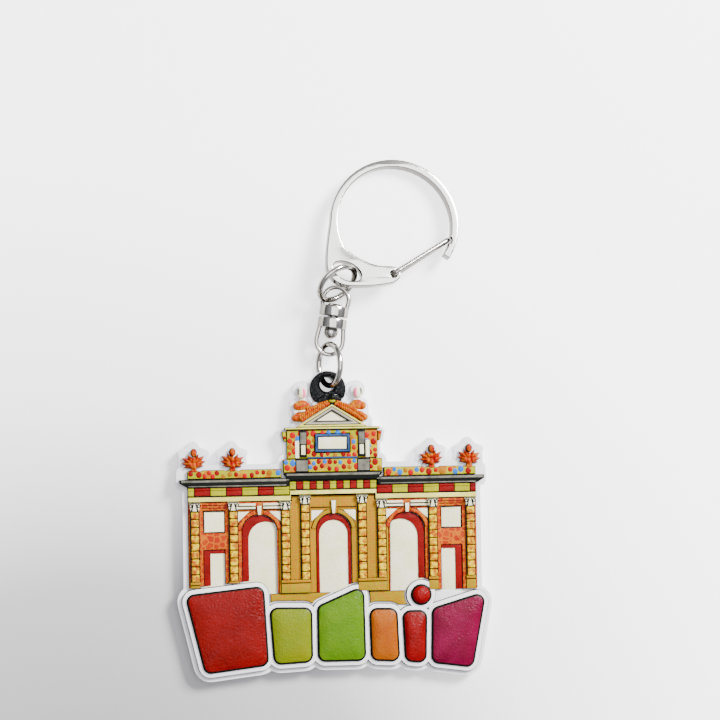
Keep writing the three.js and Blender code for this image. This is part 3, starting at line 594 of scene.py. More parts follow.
DOTS = {
    "red": Finish("dot_red", tint(202, 0, 0), 0.3).relief(0.0005, 0.00004).material,
    "flame": Finish("dot_flame", tint(362, 0, 0), 0.3).relief(0.0005, 0.00004).material,
    "blue": Finish("dot_blue", tint(6, 118, 474), 0.3).relief(0.0005, 0.00004).material,
    "amber": Finish("dot_amber", tint(286, 107, 0), 0.3).relief(0.0005, 0.00004).material,
}


# ---------------------------------------------------------------- charm: plate and tab


def rounded_copy(name, node, body, material, width, segments, angle, sharp, flatten=False):
    """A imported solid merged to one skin, its flat faces joined if asked, with its edges rounded over."""
    mesh = frame["nodes"][node].data.copy()
    sheet = bmesh.new()
    sheet.from_mesh(mesh)
    bmesh.ops.remove_doubles(sheet, verts=sheet.verts, dist=1e-6)
    if flatten:
        bmesh.ops.dissolve_limit(sheet, angle_limit=math.radians(0.5), verts=sheet.verts, edges=sheet.edges)
    sheet.to_mesh(mesh)
    sheet.free()
    mesh.materials.clear()
    mesh.materials.append(material)
    piece = bpy.data.objects.new(name, mesh)
    bpy.context.collection.objects.link(piece)
    bevel = piece.modifiers.new("round_edges", "BEVEL")
    bevel.width, bevel.segments, bevel.limit_method = width, segments, "ANGLE"
    bevel.angle_limit = math.radians(angle)
    mesh.polygons.foreach_set("use_smooth", [True] * len(mesh.polygons))
    mesh.set_sharp_from_angle(angle=math.radians(sharp))
    # metal copies store how far each face leans up, which paints reflection into their base colour
    if material in METALS:
        store_painted_reflection_tone(mesh)
    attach(piece, body)
    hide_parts(node)


def base_plate():
    """The white plate with its raised tab."""
    rounded_copy("charm_plate", "base_plate", "charm", WHITE, 0.0003, 3, 40, 42)


def from_node(name, node, materials, slot, edge=0.00018, **extra):
    """A slab on a node's own outline, with a rounded edge."""
    loops = [finer(loop) for loop in outlines_of(node)]
    mould = Mould().slab(loops, low(node)[2], high(node)[2], edge, **extra)
    return mould.build(name, materials, slot=slot, replaces=(node,))


def tab():
    """The dark face round the hole, and the same black down the wall of the hole and a little into it, partly
    the ring's own black and partly painted shade in the hole.
    """
    from_node("tab_ring_face", "tab_face", [BLACK], "black_print", 0.00025)
    hole = outlines_of("tab_face")[1]
    # a black wall reaching a little into the hole: partly the ring's black print, partly painted shade that
    # darkens the hole
    painted_shade_lining = [inset(hole, -0.00001)[::-1], inset(hole, -0.00028)]
    Mould().slab(painted_shade_lining, low("base_plate")[2] + 0.0002, high("tab_face")[2] - 0.0001, 0.0001).build(
        "tab_hole_painted_shade", [BLACK], slot="black_print")
    left, foot, right, _ = box_mm("tab_face")
    sill = (hole[:, 1].min() - GROUND) / MM - 0.35
    peak = box_mm("pediment")[3]
    half, middle = (right - left) / 2 - 0.8, (left + right) / 2
    skirt = np.array([(-0.9, peak - 0.2), (0.9, peak - 0.2), (half, foot + 0.3), (half, sill),
                      (-half, sill), (-half, foot + 0.3)]) + (middle, 0)
    Mould().slab(spot(skirt), low("tab_face")[2], high("tab_face")[2] - 0.0003, 0.0001).build(
        "tab_skirt", [BLACK], slot="black_print")


# ---------------------------------------------------------------- charm: façade


def facade():
    from_node("centre_wall", "facade_centre", [OCHRE, INK], "ochre_print", side=1)
    for word in ("left", "right"):
        from_node(f"{word}_wall", f"facade_{word}", [ORANGE, INK], "orange_print", side=1)
        from_node(f"{word}_wall_plaque", f"wall_plaque_{word}", [PAPER, INK], "white_plastic", side=1)
        from_node(f"{word}_arch_reveal", f"reveal_{word}", [RED, INK], "red_print", 0.0001)
        from_node(f"{word}_door_reveal", f"door_reveal_{word}", [RED, INK], "red_print", 0.0001)
    from_node("centre_arch_reveal", "reveal_centre", [RED, INK], "red_print", 0.0001)
    for word in ("left", "right"):
        from_node(f"{word}_ground", f"ground_{word}", [OCHRE, INK], "ochre_print", side=1)


# ---------------------------------------------------------------- charm: row of tiles

TILE_COLOURS = {
    "red": (tint(170, 0, 0), tint(112, 0, 0)),
    "lime": (tint(159, 172, 0), tint(122, 168, 0)),
    "green": (tint(91, 182, 0), tint(48, 136, 0)),
    "orange": (tint(319, 85, 0), tint(265, 46, 0)),
    "crimson": (tint(215, 0, 2), tint(130, 0, 0)),
    "magenta": (tint(163, 0, 32), tint(100, 0, 14)),
}


def tiles():
    rim_top = high("tile_rim")[2]
    rise = high("tile_red")[2] - rim_top
    for word, (main, deep) in TILE_COLOURS.items():
        loop = finer(outlines_of(f"tile_{word}")[0], 1)
        gloss = tile_gloss(f"{word}_vinyl", main, deep)
        mould = Mould().pillow(loop, rim_top, rim_top + rise * 0.4, rise * 0.58)
        mould.build(f"{word}_tile", [gloss, INK], slot=f"{word}_gloss", replaces=(f"tile_{word}",))
    gloss = tile_gloss("stud_vinyl", *TILE_COLOURS["crimson"])
    loop = finer(outlines_of("tile_stud")[0], 1)
    Mould().pillow(loop, rim_top, rim_top + rise * 0.4, rise * 0.58).build(
        "round_stud", [gloss, INK], slot="red_gloss", replaces=("tile_stud",))
    from_node("row_rim", "tile_rim", [WHITE, INK], "white_plastic", 0.00022, side=1)



# ---------------------------------------------------------------- charm: columns


def box_mm(node):
    """A node's box in charm millimetres: left, bottom, right, top."""
    a = (low(node)[:2] - spot([(0, 0)])[0]) / MM
    b = (high(node)[:2] - spot([(0, 0)])[0]) / MM
    return a[0], a[1], b[0], b[1]


BLOCK = {"width": 1.5, "gap": 0.16, "count": 9}
CAPITAL = {"height": 1.75, "curl": 0.36}
PEDESTAL = {"top": 2.7, "cap": 0.75}
NARROW_PEDESTAL_TOP = 2.6


def columns():
    """Each column is a stack of square blocks on a dark core, with a curled capital and a pedestal."""
    shafts, capitals, cores = Mould(), Mould(), Mould()
    for number in range(1, 9):
        node = f"column_{number}"
        x0, y0, x1, y1 = box_mm(node)
        x, floor, top = (x0 + x1) / 2, low(node)[2], high(node)[2]
        half = BLOCK["width"] / 2
        foot = max(y0 + 0.12, NARROW_PEDESTAL_TOP)
        neck = y1 - CAPITAL["height"]
        cores.slab(box_loop(x - half - 0.2, max(y0, foot - 0.4), x + half + 0.2, neck + 0.3),
                   floor, top - 0.00042, 0.00008, kind=1)
        pitch = (neck - foot) / BLOCK["count"]
        for step in range(BLOCK["count"]):
            low_y = foot + pitch * step + BLOCK["gap"] / 2
            shafts.slab(box_loop(x - half, low_y, x + half, low_y + pitch - BLOCK["gap"], 0.16, 2),
                        floor, top - 0.00008, 0.0002)
        bell = [(x - half, neck), (x + half, neck), (x + half + 0.34, y1 - 0.5), (x + half + 0.34, y1),
                (x - half - 0.34, y1), (x - half - 0.34, y1 - 0.5)]
        capitals.slab(spot(bell), floor, top - 0.00012, 0.00012, kind=0)
        for side in (-1, 1):
            curl = disc_loop(x + side * (half + 0.06), y1 - 0.62, CAPITAL["curl"], steps=16)
            hole = disc_loop(x + side * (half + 0.06), y1 - 0.62, CAPITAL["curl"] * 0.5, steps=16)[::-1]
            capitals.slab([curl, hole], top - 0.0003, top, 0.00006, kind=1)
            stem = [(x + side * 0.16, y1 - 0.28), (x + side * (half - 0.28), neck + 0.12),
                    (x + side * (half - 0.02), neck + 0.12), (x + side * 0.42, y1 - 0.28)]
            capitals.slab(spot(stem if side > 0 else stem[::-1]), top - 0.0003, top, 0.00005, kind=1)
        abacus = box_loop(x - half - 0.3, y1 - 0.2, x + half + 0.3, y1 - 0.02)
        capitals.slab(abacus, top - 0.0003, top, 0.00005, kind=1)
        collar = box_loop(x - half - 0.05, neck - 0.1, x + half + 0.05, neck + 0.1)
        capitals.slab(collar, top - 0.0004, top, 0.00005, kind=1)
    shafts.build("column_blocks", [COLUMN], slot="yellow_print")
    cores.build("column_joints", [COLUMN, INK], slot="yellow_print",
                replaces=[f"column_{number}" for number in range(1, 9)])
    capitals.build("column_capitals", [PAPER, INK], slot="white_plastic")


def pedestals():
    """Plinths with a moulded cap: one under each outer column, and a wide one under each inner pair."""
    mould = Mould()
    floor = low("column_1")[2]
    spans = []
    for number in (1, 2, 7, 8):
        x0, y0, x1, _ = box_mm(f"column_{number}")
        spans.append((x0 + 0.1, y0, x1 - 0.1))
    for first, second in ((3, 4), (5, 6)):
        x0, y0, _, _ = box_mm(f"column_{first}")
        _, other, x1, _ = box_mm(f"column_{second}")
        spans.append((x0 + 0.1, max(y0, other), x1 - 0.1))
    top = high("column_1")[2]
    for x0, y0, x1 in spans:
        cap_top = PEDESTAL["top"]
        cap_low = cap_top - PEDESTAL["cap"]
        if y0 < cap_low - 0.4:
            die = box_loop(x0 + 0.08, y0 + 0.05, x1 - 0.08, cap_low)
            mould.slab(die, floor, top - 0.0005, 0.00012, side=1)
        if y0 < cap_top - 0.3:
            cap = box_loop(x0, max(y0, cap_low + 0.12), x1, cap_top)
            mould.slab(cap, floor, top - 0.0003, 0.00014, side=1)
    mould.build("column_pedestals", [OCHRE, INK], slot="ochre_print")


# ---------------------------------------------------------------- charm: bands across the top

WING_BLOCKS = 6.4
CENTRE_BLOCKS = 13
FRIEZE_STEP = 8.7
CORNICE_STEP = 9.3


def to_mm(loop):
    """Frame metres back to charm millimetres."""
    return (loop - spot([(0, 0)])[0]) / MM


def stepped(node):
    """A band whose middle stands higher than its wings: its end, then the bottoms of wings and middle,
    then their tops."""
    levels = np.unique(np.round(to_mm(outlines_of(node)[0])[:, 1], 2))
    return box_mm(node)[2], levels[0], levels[1], levels[-2], levels[-1]


def bands():
    from_node("architrave_band", "architrave", [CREAM, INK], "cream_print", 0.0002, side=1)
    frieze()
    cornice()
    balustrades()


def frieze():
    """Alternating yellow and red blocks with a small step near the top, on a dark backing."""
    end, low_y, low_centre, high_y, high_centre = stepped("frieze")
    floor, top = low("frieze")[2], high("frieze")[2]
    from_node("frieze_backing", "frieze", [INK], "red_print", 0.00005)
    blocks = Mould()
    gap = 0.1
    wing = (end - FRIEZE_STEP) / WING_BLOCKS
    runs = []
    for side, first in ((-1, 0), (1, 1)):
        inner = FRIEZE_STEP
        number = 0
        while inner < end - 0.1:
            outer = min(inner + wing, end)
            ends = sorted((side * inner, side * outer))
            runs.append((*ends, low_y, high_y, (number + first) % 2))
            inner, number = outer, number + 1
    centre = 2 * FRIEZE_STEP / CENTRE_BLOCKS
    for number in range(CENTRE_BLOCKS):
        start = -FRIEZE_STEP + number * centre
        runs.append((start, start + centre, low_centre, high_centre, number % 2))
    for left, right, bottom, upper, kind in runs:
        left, right = left + gap / 2, right - gap / 2
        step_y = bottom + (upper - bottom) * 0.66
        body = box_loop(left, bottom + 0.1, right, step_y, 0.06, 1)
        blocks.slab(body, floor, top + 0.00005, 0.00012, kind=kind)
        lip = box_loop(left, step_y - 0.02, right, upper - 0.08, 0.06, 1)
        blocks.slab(lip, floor, top + 0.00016, 0.00012, kind=kind)
    blocks.build("frieze_blocks", [LIME, RED], slot="red_print")


def cornice():
    """A dark bed whose ends run out to points, and two thin grey lines on it. It steps up at the middle."""
    end, low_y, low_centre, high_y, high_centre = stepped("cornice")
    lift, height = low_centre - low_y, high_y - low_y
    floor, top = low("cornice")[2], high("cornice")[2]
    step = CORNICE_STEP
    bed = Mould()
    for side in (-1, 1):
        wing = [(step - 0.4, low_y), (end - 1.5, low_y), (end, high_y - 0.45 * height), (end, high_y),
                (step - 0.4, high_y)]
        bed.slab(spot((np.array(wing) * (side, 1))[::side]), floor, top - 0.0001, 0.00015)
    crown = [(-step + 0.5, low_centre), (step - 0.5, low_centre), (step + 0.5, high_centre - 0.3),
             (step + 0.5, high_centre), (-step - 0.5, high_centre), (-step - 0.5, high_centre - 0.3)]
    bed.slab(spot(crown), floor, top, 0.00015)
    bed.build("cornice_bed", [INK], slot="grey_print", replaces=("cornice",))
    mould = Mould()
    for start, stop, proud, back in ((0.06, 0.2, 0.0, 1.7), (0.62, 0.9, 0.00004, 0.3)):
        bottom, upper = low_y + start * height, low_y + stop * height
        for side in (-1, 1):
            left, right = sorted((side * (step + 0.1), side * (end - back)))
            mould.slab(box_loop(left, bottom, right, upper), floor, top + proud, 0.00008, kind=2)
        mould.slab(box_loop(-step, bottom + lift, step, upper + lift), floor, top + proud, 0.00008, kind=2)
    mould.build("cornice_mouldings", [PAPER, INK, LINE], slot="grey_print")


def mosaic(name, nodes, slot, dots, dot_size):
    """A coloured ground with round dots set on it, scattered but kept apart, in four colours."""
    rise = 0.00012
    ground = Mould()
    caps = Mould()
    for node in nodes:
        loops = [finer(loop) for loop in outlines_of(node)]
        ground.slab(loops, low(node)[2], high(node)[2], 0.0002, side=1)
        outer = to_mm(loops[0])
        x0, y0, x1, y1 = box_mm(node)
        taken = []
        for _ in range(4000):
            if len(taken) >= dots:
                break
            radius = dot_size * rng.uniform(0.8, 1.25)
            x, y = rng.uniform(x0 + radius, x1 - radius), rng.uniform(y0 + radius, y1 - radius)
            if any(math.hypot(x - a, y - b) < radius + r - 0.02 for a, b, r in taken):
                continue
            rim = ((x + radius, y), (x, y + radius), (x - radius, y), (x, y - radius))
            if not all(inside(*point, outer) for point in rim):
                continue
            if any(inside(x, y, to_mm(loop[::-1])) for loop in loops[1:]):
                continue
            taken.append((x, y, radius))
        for x, y, radius in taken:
            kind = int(rng.choice(4, p=(0.4, 0.3, 0.18, 0.12)))
            caps.dome(x, y, radius * 0.9, radius, high(node)[2] - 0.00002, rise, kind)
    ground.build(f"{name}_ground", [MOSAIC, INK], slot=slot, replaces=nodes)
    caps.build(f"{name}_dots", list(DOTS.values()), slot=slot)


def inside(x, y, outline):
    """Whether a point lies in an outline, by counting the edges to its right."""
    a, b = outline, np.roll(outline, -1, axis=0)
    crosses = (a[:, 1] > y) != (b[:, 1] > y)
    with np.errstate(divide="ignore", invalid="ignore"):
        at = a[:, 0] + (y - a[:, 1]) / (b[:, 1] - a[:, 1]) * (b[:, 0] - a[:, 0])
    return bool(np.sum(crosses & (at > x)) % 2)


def balustrades():
    mosaic("balustrade", ["balustrade_left", "balustrade_right"], "yellow_print", 16, 0.58)


def attic():
    """The mosaic storey over the middle: its plaque, and at each end a pilaster on a plinth, given by
    their distance from the middle, half width, two heights, foot, crest and material."""
    mosaic("attic_band", ["attic_band"], "cream_print", 30, 0.55)
    mosaic("attic_block", ["attic_block"], "ochre_print", 46, 0.55)
    mosaic("attic_ear", ["attic_ear_left", "attic_ear_right"], "yellow_print", 1, 0.3)
    from_node("plaque_border", "plaque_frame", [BLUE, INK], "blue_print", 0.00016, side=1)
    from_node("plaque_panel", "attic_plaque", [PAPER, INK], "white_plastic", 0.00016, side=1)
    from_node("attic_cornice", "attic_cap", [CREAM, INK], "cream_print", 0.0002, side=1)
    _, band_y, _, band_top = box_mm("attic_band")
    _, block_y, _, block_top = box_mm("attic_block")
    floor, top = low("attic_block")[2], high("attic_block")[2]
    level = high("attic_band")[2]
    trim = Mould()
    for side in (-1, 1):
        blocks = (
            (6.15, 1.3, band_y + 0.1, band_top - 0.1, level - 0.0002, level + 0.00012, 3),
            (6.15, 1.15, band_y + 0.22, band_top - 0.25, level, level + 0.0002, 0),
            (5.85, 0.75, block_y + 0.25, block_top - 0.1, floor, top + 0.00018, 3),
            (5.85, 0.6, block_y + 2.9, block_top - 0.45, floor, top + 0.0003, 0),
            (5.85, 0.42, block_y + 0.75, block_y + 2.7, floor, top + 0.00026, 1),
        )
        for x, half, bottom, upper, foot, crest, kind in blocks:
            block = box_loop(side * x - half, bottom, side * x + half, upper)
            trim.slab(block, foot, crest, 0.0001, kind=kind)
        strip = box_loop(side * 7.05 - 0.42, block_y + 0.1, side * 7.05 + 0.42, block_y + 3.6)
        trim.slab(strip, floor, top + 0.00012, 0.0001, kind=1, side=3)
    sill = box_loop(-5.0, block_y - 0.02, 5.0, block_y + 0.34)
    trim.slab(sill, floor, top + 0.00015, 0.0001, kind=4, side=3)
    trim.build("attic_pilasters", [LINE, PAPER, CREAM, INK, BLUE], slot="grey_print")


def gable(inset_by):
    """The pediment's triangle moved in by a distance, worked out from its slopes."""
    x0, y0, x1, y1 = box_mm("pediment")
    half, rise = (x1 - x0) / 2 + 0.12, y1 - y0 + 0.02
    slope = math.hypot(half, rise)
    shrink = inset_by * (slope + half) / rise
    left, right = (x0 + x1) / 2 - half + shrink, (x0 + x1) / 2 + half - shrink
    foot = y0 + inset_by
    return [(left, foot), (right, foot), ((x0 + x1) / 2, foot + (half - shrink) * rise / half)]


def pediment():
    """Nested triangles: a cream rim, a dark line, two grey steps and a sunk white field."""
    floor, top = low("pediment")[2], high("pediment")[2]
    nested = Mould()
    steps = [(0.04, 0.34, 0.0, 2), (0.34, 0.5, -0.00035, 3), (0.5, 0.82, -0.00008, 1),
             (0.82, 1.0, -0.00022, 0), (1.0, 1.18, -0.0004, 3)]
    for outer, inner, proud, kind in steps:
        ring = [spot(gable(outer)), spot(gable(inner))[::-1]]
        nested.slab(ring, floor, top + proud, 0.00006, kind=kind, side=kind)
    nested.build("pediment_mouldings", [LINE, PALE, CREAM, INK], slot="grey_print", replaces=("pediment",))
    from_node("pediment_field", "tympanum", [PAPER, INK], "white_plastic", 0.00016)


# ---------------------------------------------------------------- charm: finials, figures, garlands


def blade(mould, x, y, angle, length, width, bottom, top, kind=0):
    """A pointed leaf: its half width is the sine of pi times the square root of the way along, and its
    ridge stands up along the middle line."""
    way = np.linspace(0, 1, 9)
    half = width / 2 * np.sin(np.pi * way ** 0.75) * (1 - 0.25 * way)
    half[0] = width * 0.16
    ridge = 0.45 + 0.55 * np.sin(np.pi * np.clip(way * 0.9 + 0.1, 0, 1))
    c, s = math.cos(angle), math.sin(angle)
    rows = []
    for share, w, h in zip(way[:-1], half[:-1], ridge[:-1]):
        row = []
        for across, lift in ((-1, 0), (-0.92, 0.45), (0, 1), (0.92, 0.45), (1, 0)):
            u, v = length * share, w * across
            row.append([x + u * c - v * s, y + u * s + v * c, bottom + (top - bottom) * lift * h])
        rows.append(row)
    rows = np.array(rows)
    flat = rows.reshape(-1, 3)
    tip = [x + length * c, y + length * s, bottom + (top - bottom) * 0.25]
    points = np.vstack([flat, tip])
    points[:, :2] = spot(points[:, :2])
    faces, kinds = [], []
    count = 5
    for row in range(len(rows) - 1):
        for i in range(count - 1):
            a = row * count + i
            faces.append((a, a + 1, a + count + 1, a + count))
            kinds.append(1 if i in (0, count - 2) else kind)
        a = row * count
        faces.append((a + count - 1, a, a + count, a + 2 * count - 1))
        kinds.append(1)
    last = (len(rows) - 1) * count
    for i in range(count):
        faces.append((last + i, last + (i + 1) % count, len(flat)))
        kinds.append(kind if i in (1, 2) else 1)
    faces.append(tuple(range(count))[::-1])
    kinds.append(1)
    mould.shell(points, faces, kinds)


LEAVES = ((-12, 2.0, 1.15), (192, 2.0, 1.15), (12, 2.5, 1.25), (168, 2.5, 1.25), (36, 2.75, 1.3),
          (144, 2.75, 1.3), (62, 2.4, 1.15), (118, 2.4, 1.15))


HEART = ((-0.75, 0.1, 0.75), (0.75, 0.1, 0.75), (0.0, -0.2, 0.95), (0.0, 0.9, 0.7))


def finials():
    """A fan of broad pointed leaves round a ribbed heart, and a bud standing up between them. A leaf is
    given by its angle in degrees, its length and its width."""
    for number in range(1, 5):
        node = f"finial_{number}"
        x0, y0, x1, y1 = box_mm(node)
        x, floor, top = (x0 + x1) / 2, low(node)[2], high(node)[2]
        heart = y0 + 1.15
        mould = Mould()
        lean = 1 if number % 2 else -1
        for degrees, reach, width in LEAVES:
            angle = math.radians(degrees + 4 * lean)
            blade(mould, x, heart, angle, reach, width, floor, top - 0.0001)
        for across, up, size in HEART:
            mould.dome(x + across, heart + up, size * 0.62, size * 0.85, top - 0.0005, 0.00045, 0,
                       -across * 0.5, up=3)
        mould.slab(disc_loop(x, heart + 2.35, 0.62, 0.85, 16), floor, top - 0.0003, 0.0001, kind=1)
        mould.dome(x, heart + 2.35, 0.5, 0.74, top - 0.00035, 0.0003, 0)
        mould.slab(box_loop(x - 0.55, y0 - 0.3, x + 0.55, heart - 0.3, 0.12, 2), floor, top - 0.0004, 0.0001,
                   kind=0, side=1)
        mould.build(f"finial_leaves_{number}", [FLAME, INK], slot="flame_print", replaces=(node,))


FOLDS = ((0.0, 2.15, 1.3, 1.15), (-1.0, 1.95, 0.75, 0.85), (1.0, 2.0, 0.75, 0.85),
         (0.5, -0.05, 1.25, 1.0), (-0.55, 0.1, 0.85, 0.85), (1.35, -0.3, 0.75, 0.7))


def figures():
    """A plain oval head over two soft rows of folded cloth. A fold is given by its place from the head's
    middle and the figure's foot, and by its two radii."""
    for word, side in (("left", -1), ("right", 1)):
        node = f"figure_{word}"
        x0, y0, x1, y1 = box_mm(node)
        floor, top = low(node)[2], high(node)[2]
        base = outlines_of(node)[0]
        mould = Mould()
        mould.slab(finer(base), floor, top - 0.0007, 0.0002, kind=2)
        head_x = (x0 + x1) / 2 + side * -0.1
        mould.dome(head_x, y1 - 1.75, 0.98, 1.2, top - 0.0008, 0.0007, 3, around=24)
        mould.dome(head_x - side * 0.35, y1 - 1.7, 0.4, 0.95, top - 0.0004, 0.0003, 4)
        mould.dome(head_x + side * 0.62, y1 - 1.5, 0.3, 0.75, top - 0.0005, 0.0003, 5)
        for across, up, wide, tall in FOLDS:
            mould.dome(head_x + side * across, y0 + up, wide, tall, top - 0.0009, 0.00075, 0,
                       math.radians(-14 * side), 20)
        mould.dome(head_x + side * 0.1, y0 + 1.05, 0.85, 0.2, top - 0.0003, 0.0003, 3,
                   math.radians(-8 * side))
        mould.build(f"{word}_figure", [GARLAND, INK, WHITE, PAPER, PINK, LINE], slot="figure_print",
                    replaces=(node,))


def garlands():
    """A band of leaves down each slope of the gable, whose width is 1 plus a sine of the way down, and a
    pointed leaf at the top."""
    for word, side in (("left", -1), ("right", 1)):
        node = f"swag_{word}"
        floor, top = low(node)[2], high(node)[2]
        mould = Mould()
        peak, foot = np.array(gable(0)[2]), np.array(gable(0)[1 if side > 0 else 0])
        down = (foot - peak) / np.linalg.norm(foot - peak)
        out = np.array([-down[1], down[0]]) * side
        ways = np.linspace(0.35, 6.9, 15)
        widths = 1.0 + 0.75 * np.sin(np.pi * np.clip(ways / 8.2, 0, 1))
        upper = [peak + down * way + out * width for way, width in zip(ways, widths)]
        lower = [peak + down * way + out * 0.12 for way in ways]
        outline = np.array(upper + lower[::-1])
        mould.slab(spot(outline if side < 0 else outline[::-1]), floor, top - 0.0004, 0.0002, kind=0, side=1)
        for way, width in zip(ways[:-1], widths):
            for row in (0.3, 0.72):
                x, y = peak + down * (way + 0.2 + 0.16 * row) + out * (0.12 + width * row)
                mould.dome(x, y, 0.3, width * 0.34, top - 0.00045, 0.00035, 0,
                           math.atan2(out[1], out[0]) - math.pi / 2 + 0.5 * side, 12, 3)
        mould.build(f"{word}_garland", [GARLAND, INK], slot="orange_print", replaces=(node,))
    x0, y0, x1, y1 = box_mm("apex_leaf")
    floor, top = low("apex_leaf")[2], high("apex_leaf")[2]
    leaf = Mould()
    leaf.slab(outlines_of("apex_leaf")[0], floor, top - 0.0004, 0.0001, kind=1)
    blade(leaf, (x0 + x1) / 2, y0 + 0.2, math.pi / 2, y1 - y0 - 0.2, (x1 - x0) * 0.9, top - 0.0005, top,
          kind=1)
    leaf.dome((x0 + x1) / 2, y0 + 0.25, 0.7, 0.32, top - 0.0004, 0.00035, 2)
    leaf.build("apex_leaf_blade", [GARLAND, INK, LIME], slot="black_print", replaces=("apex_leaf",))


# ---------------------------------------------------------------- charm: arches


def arc_band(x, spring, inner, outer, start, stop, steps=12):
    """Part of a round band, between two angles in degrees from the right."""
    angles = np.radians(np.linspace(start, stop, steps))
    arc = np.stack([np.cos(angles), np.sin(angles)], 1)
    middle = np.array([x, spring])
    return spot(np.concatenate([middle + outer * arc, middle + inner * arc[::-1]]))


def bay_middles():
    """The three arched bays: a word, the bay's middle, and the arch's half width and spring line."""
    x0, _, x1, crown = box_mm("reveal_centre")
    half = (x1 - x0) / 2
    inner, outer = box_mm("column_6"), box_mm("column_7")
    side_x = (inner[0] + inner[2] + outer[0] + outer[2]) / 4
    return [(word, x, half, crown - half) for word, x in
            (("left", -side_x), ("centre", 0.0), ("right", side_x))]


# Strips over a side arch: height over the crown, thickness, how proud it stands, edge and material.
SIDE_STRIPS = ((0.0, 0.16, 0.0002, 0.00004, 3), (0.2, 0.4, 0.00025, 0.00008, 2),
               (0.62, 0.18, 0.0002, 0.00004, 3), (0.84, 0.46, 0.00025, 0.00008, 2))


def arches():
    """Archivolts, keystones, corner plates and the dark and pale strips over the openings."""
    trims = Mould()
    top = high("facade_centre")[2]
    sunk = top - 0.0001
    for word, x, half, spring in bay_middles():
        crown = spring + half
        body = 0 if word == "centre" else 1
        for start, stop in ((8, 78), (102, 172)):
            for inner, outer, proud, edge, kind in ((0.12, 0.22, 0.00012, 0.00003, 3),
                                                    (0.22, 0.95, 0.0002, 0.0001, body),
                                                    (0.95, 1.07, 0.00012, 0.00003, 3)):
                trims.slab(arc_band(x, spring, half + inner, half + outer, start, stop), sunk, top + proud,
                           edge, kind=kind)
        key_top = crown + (2.7 if word == "centre" else 1.9)
        key = [(x - 0.34, crown + 0.02), (x + 0.34, crown + 0.02), (x + 0.5, key_top), (x - 0.5, key_top)]
        trims.slab(spot(key), sunk, top + 0.0005, 0.00014, kind=2, side=3)
        reach = half + 1.0
        for side in (-1, 1):
            corner = [(x + side * reach, spring + 1.9), (x + side * reach, spring + half + 0.75),
                      (x + side * 1.9, spring + half + 0.75)]
            trims.slab(spot(corner[::side]), sunk, top + 0.00018, 0.0001, kind=2, side=3)
            left, right = sorted((x + side * 0.75, x + side * (reach + 0.1)))
            strips = SIDE_STRIPS[:1] if word == "centre" else SIDE_STRIPS
            foot = crown + (1.25 if word == "centre" else 1.05)
            for up, thick, proud, edge, kind in strips:
                trims.slab(box_loop(left, foot + up, right, foot + up + thick), sunk, top + proud, edge,
                           kind=kind)
    sill = box_mm("wall_plaque_left")[3] + 0.18
    for word in ("left", "right"):
        left, _, right, _ = box_mm(f"wall_plaque_{word}")
        for number in range(3):
            line = box_loop(left - 0.3, sill + number * 0.52, right + 0.3, sill + 0.1 + number * 0.52)
            trims.slab(line, sunk, top + 0.00012, 0.00003, kind=3)
    opening_fields()
    trims.build("arch_trims", [OCHRE, ORANGE, PAPER, INK], slot="cream_print")


def opening_fields():
    """The pale fields seen through the arches and doors, from the ground line up."""
    fields = Mould()
    bottom, top = PLATE_TOP - 0.0002, PLATE_TOP + 0.00008
    angles = np.linspace(0, math.pi, 25)
    for _, x, half, spring in bay_middles():
        reach = half - 0.1
        head = np.stack([x + reach * np.cos(angles), spring + reach * np.sin(angles)], 1)
        outline = np.concatenate([[(x - reach, 0.0), (x + reach, 0.0)], head])
        fields.slab(spot(outline), bottom, top, 0.00003)
    for word in ("left", "right"):
        x0, _, x1, y1 = box_mm(f"door_reveal_{word}")
        fields.slab(box_loop(x0 + 0.1, 0.0, x1 - 0.1, y1 - 0.1), bottom, top, 0.00003)
    fields.build("opening_fields", [PAPER], slot="white_plastic")


# ---------------------------------------------------------------- metal


def unit(vector):
    return np.asarray(vector, float) / np.linalg.norm(vector)


def axes_of(node):
    """A round link's own axes, from the spread of its corners: the two it lies along, and its normal."""
    points, _ = node_points(node)
    middle = points.mean(0)
    _, _, rows = np.linalg.svd(points - middle, full_matrices=False)
    return middle, rows


RING_GAP = {"lower_ring_wire": 2.2, "upper_ring_wire": 0.6}
WIRE_RADIUS = 0.00058


def wire_ring(name, node, body):
    """Round wire bent to a circle: a torus whose ends, drawn in a little, meet at a fine sawn gap."""
    middle, (first, second, normal) = axes_of(node)
    points, _ = node_points(node)
    radius = np.linalg.norm(points - middle, axis=1).max() - WIRE_RADIUS
    angles = RING_GAP[name] + np.linspace(math.radians(0.35), math.radians(359.65), 145)
    path = middle + radius * (np.cos(angles)[:, None] * first + np.sin(angles)[:, None] * second)
    round_the_wire = np.linspace(0, 2 * math.pi, 25)[:-1]
    section = WIRE_RADIUS * np.stack([np.cos(round_the_wire), np.sin(round_the_wire)], 1)
    sections = np.repeat(section[None], len(path), axis=0)
    sections[0] *= 0.9
    sections[-1] *= 0.9
    Mould().sweep(path, sections, up=normal).build(name, [WIRE], body, "nickel_steel", (node,))


def hook():
    """The flat of the hook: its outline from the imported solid, made finer, on a rounded profile."""
    normal = unit(joints["gate_hinge"]["axis"])
    side = unit(np.cross((0, 1, 0), normal))
    turn = np.array([side, np.cross(normal, side), normal])
    points, _ = node_points("hook_body", turn)
    loops = [finer(loop, 2) for loop in outlines_of("hook_body", turn=turn)]
    Mould().slab(loops, points[:, 2].min(), points[:, 2].max(), 0.00022, steps=4).build(
        "hook_plate", [BRIGHT], "hook", "nickel_steel", ("hook_body",), turn=turn, smooth=math.radians(30))


COLLAR = {"height": 2.0, "bore": 1.25, "round": 0.16, "clear": 4.5}
YOKE = {"half": 2.65, "foot": 2.35, "strap": (0.45, 0.55)}


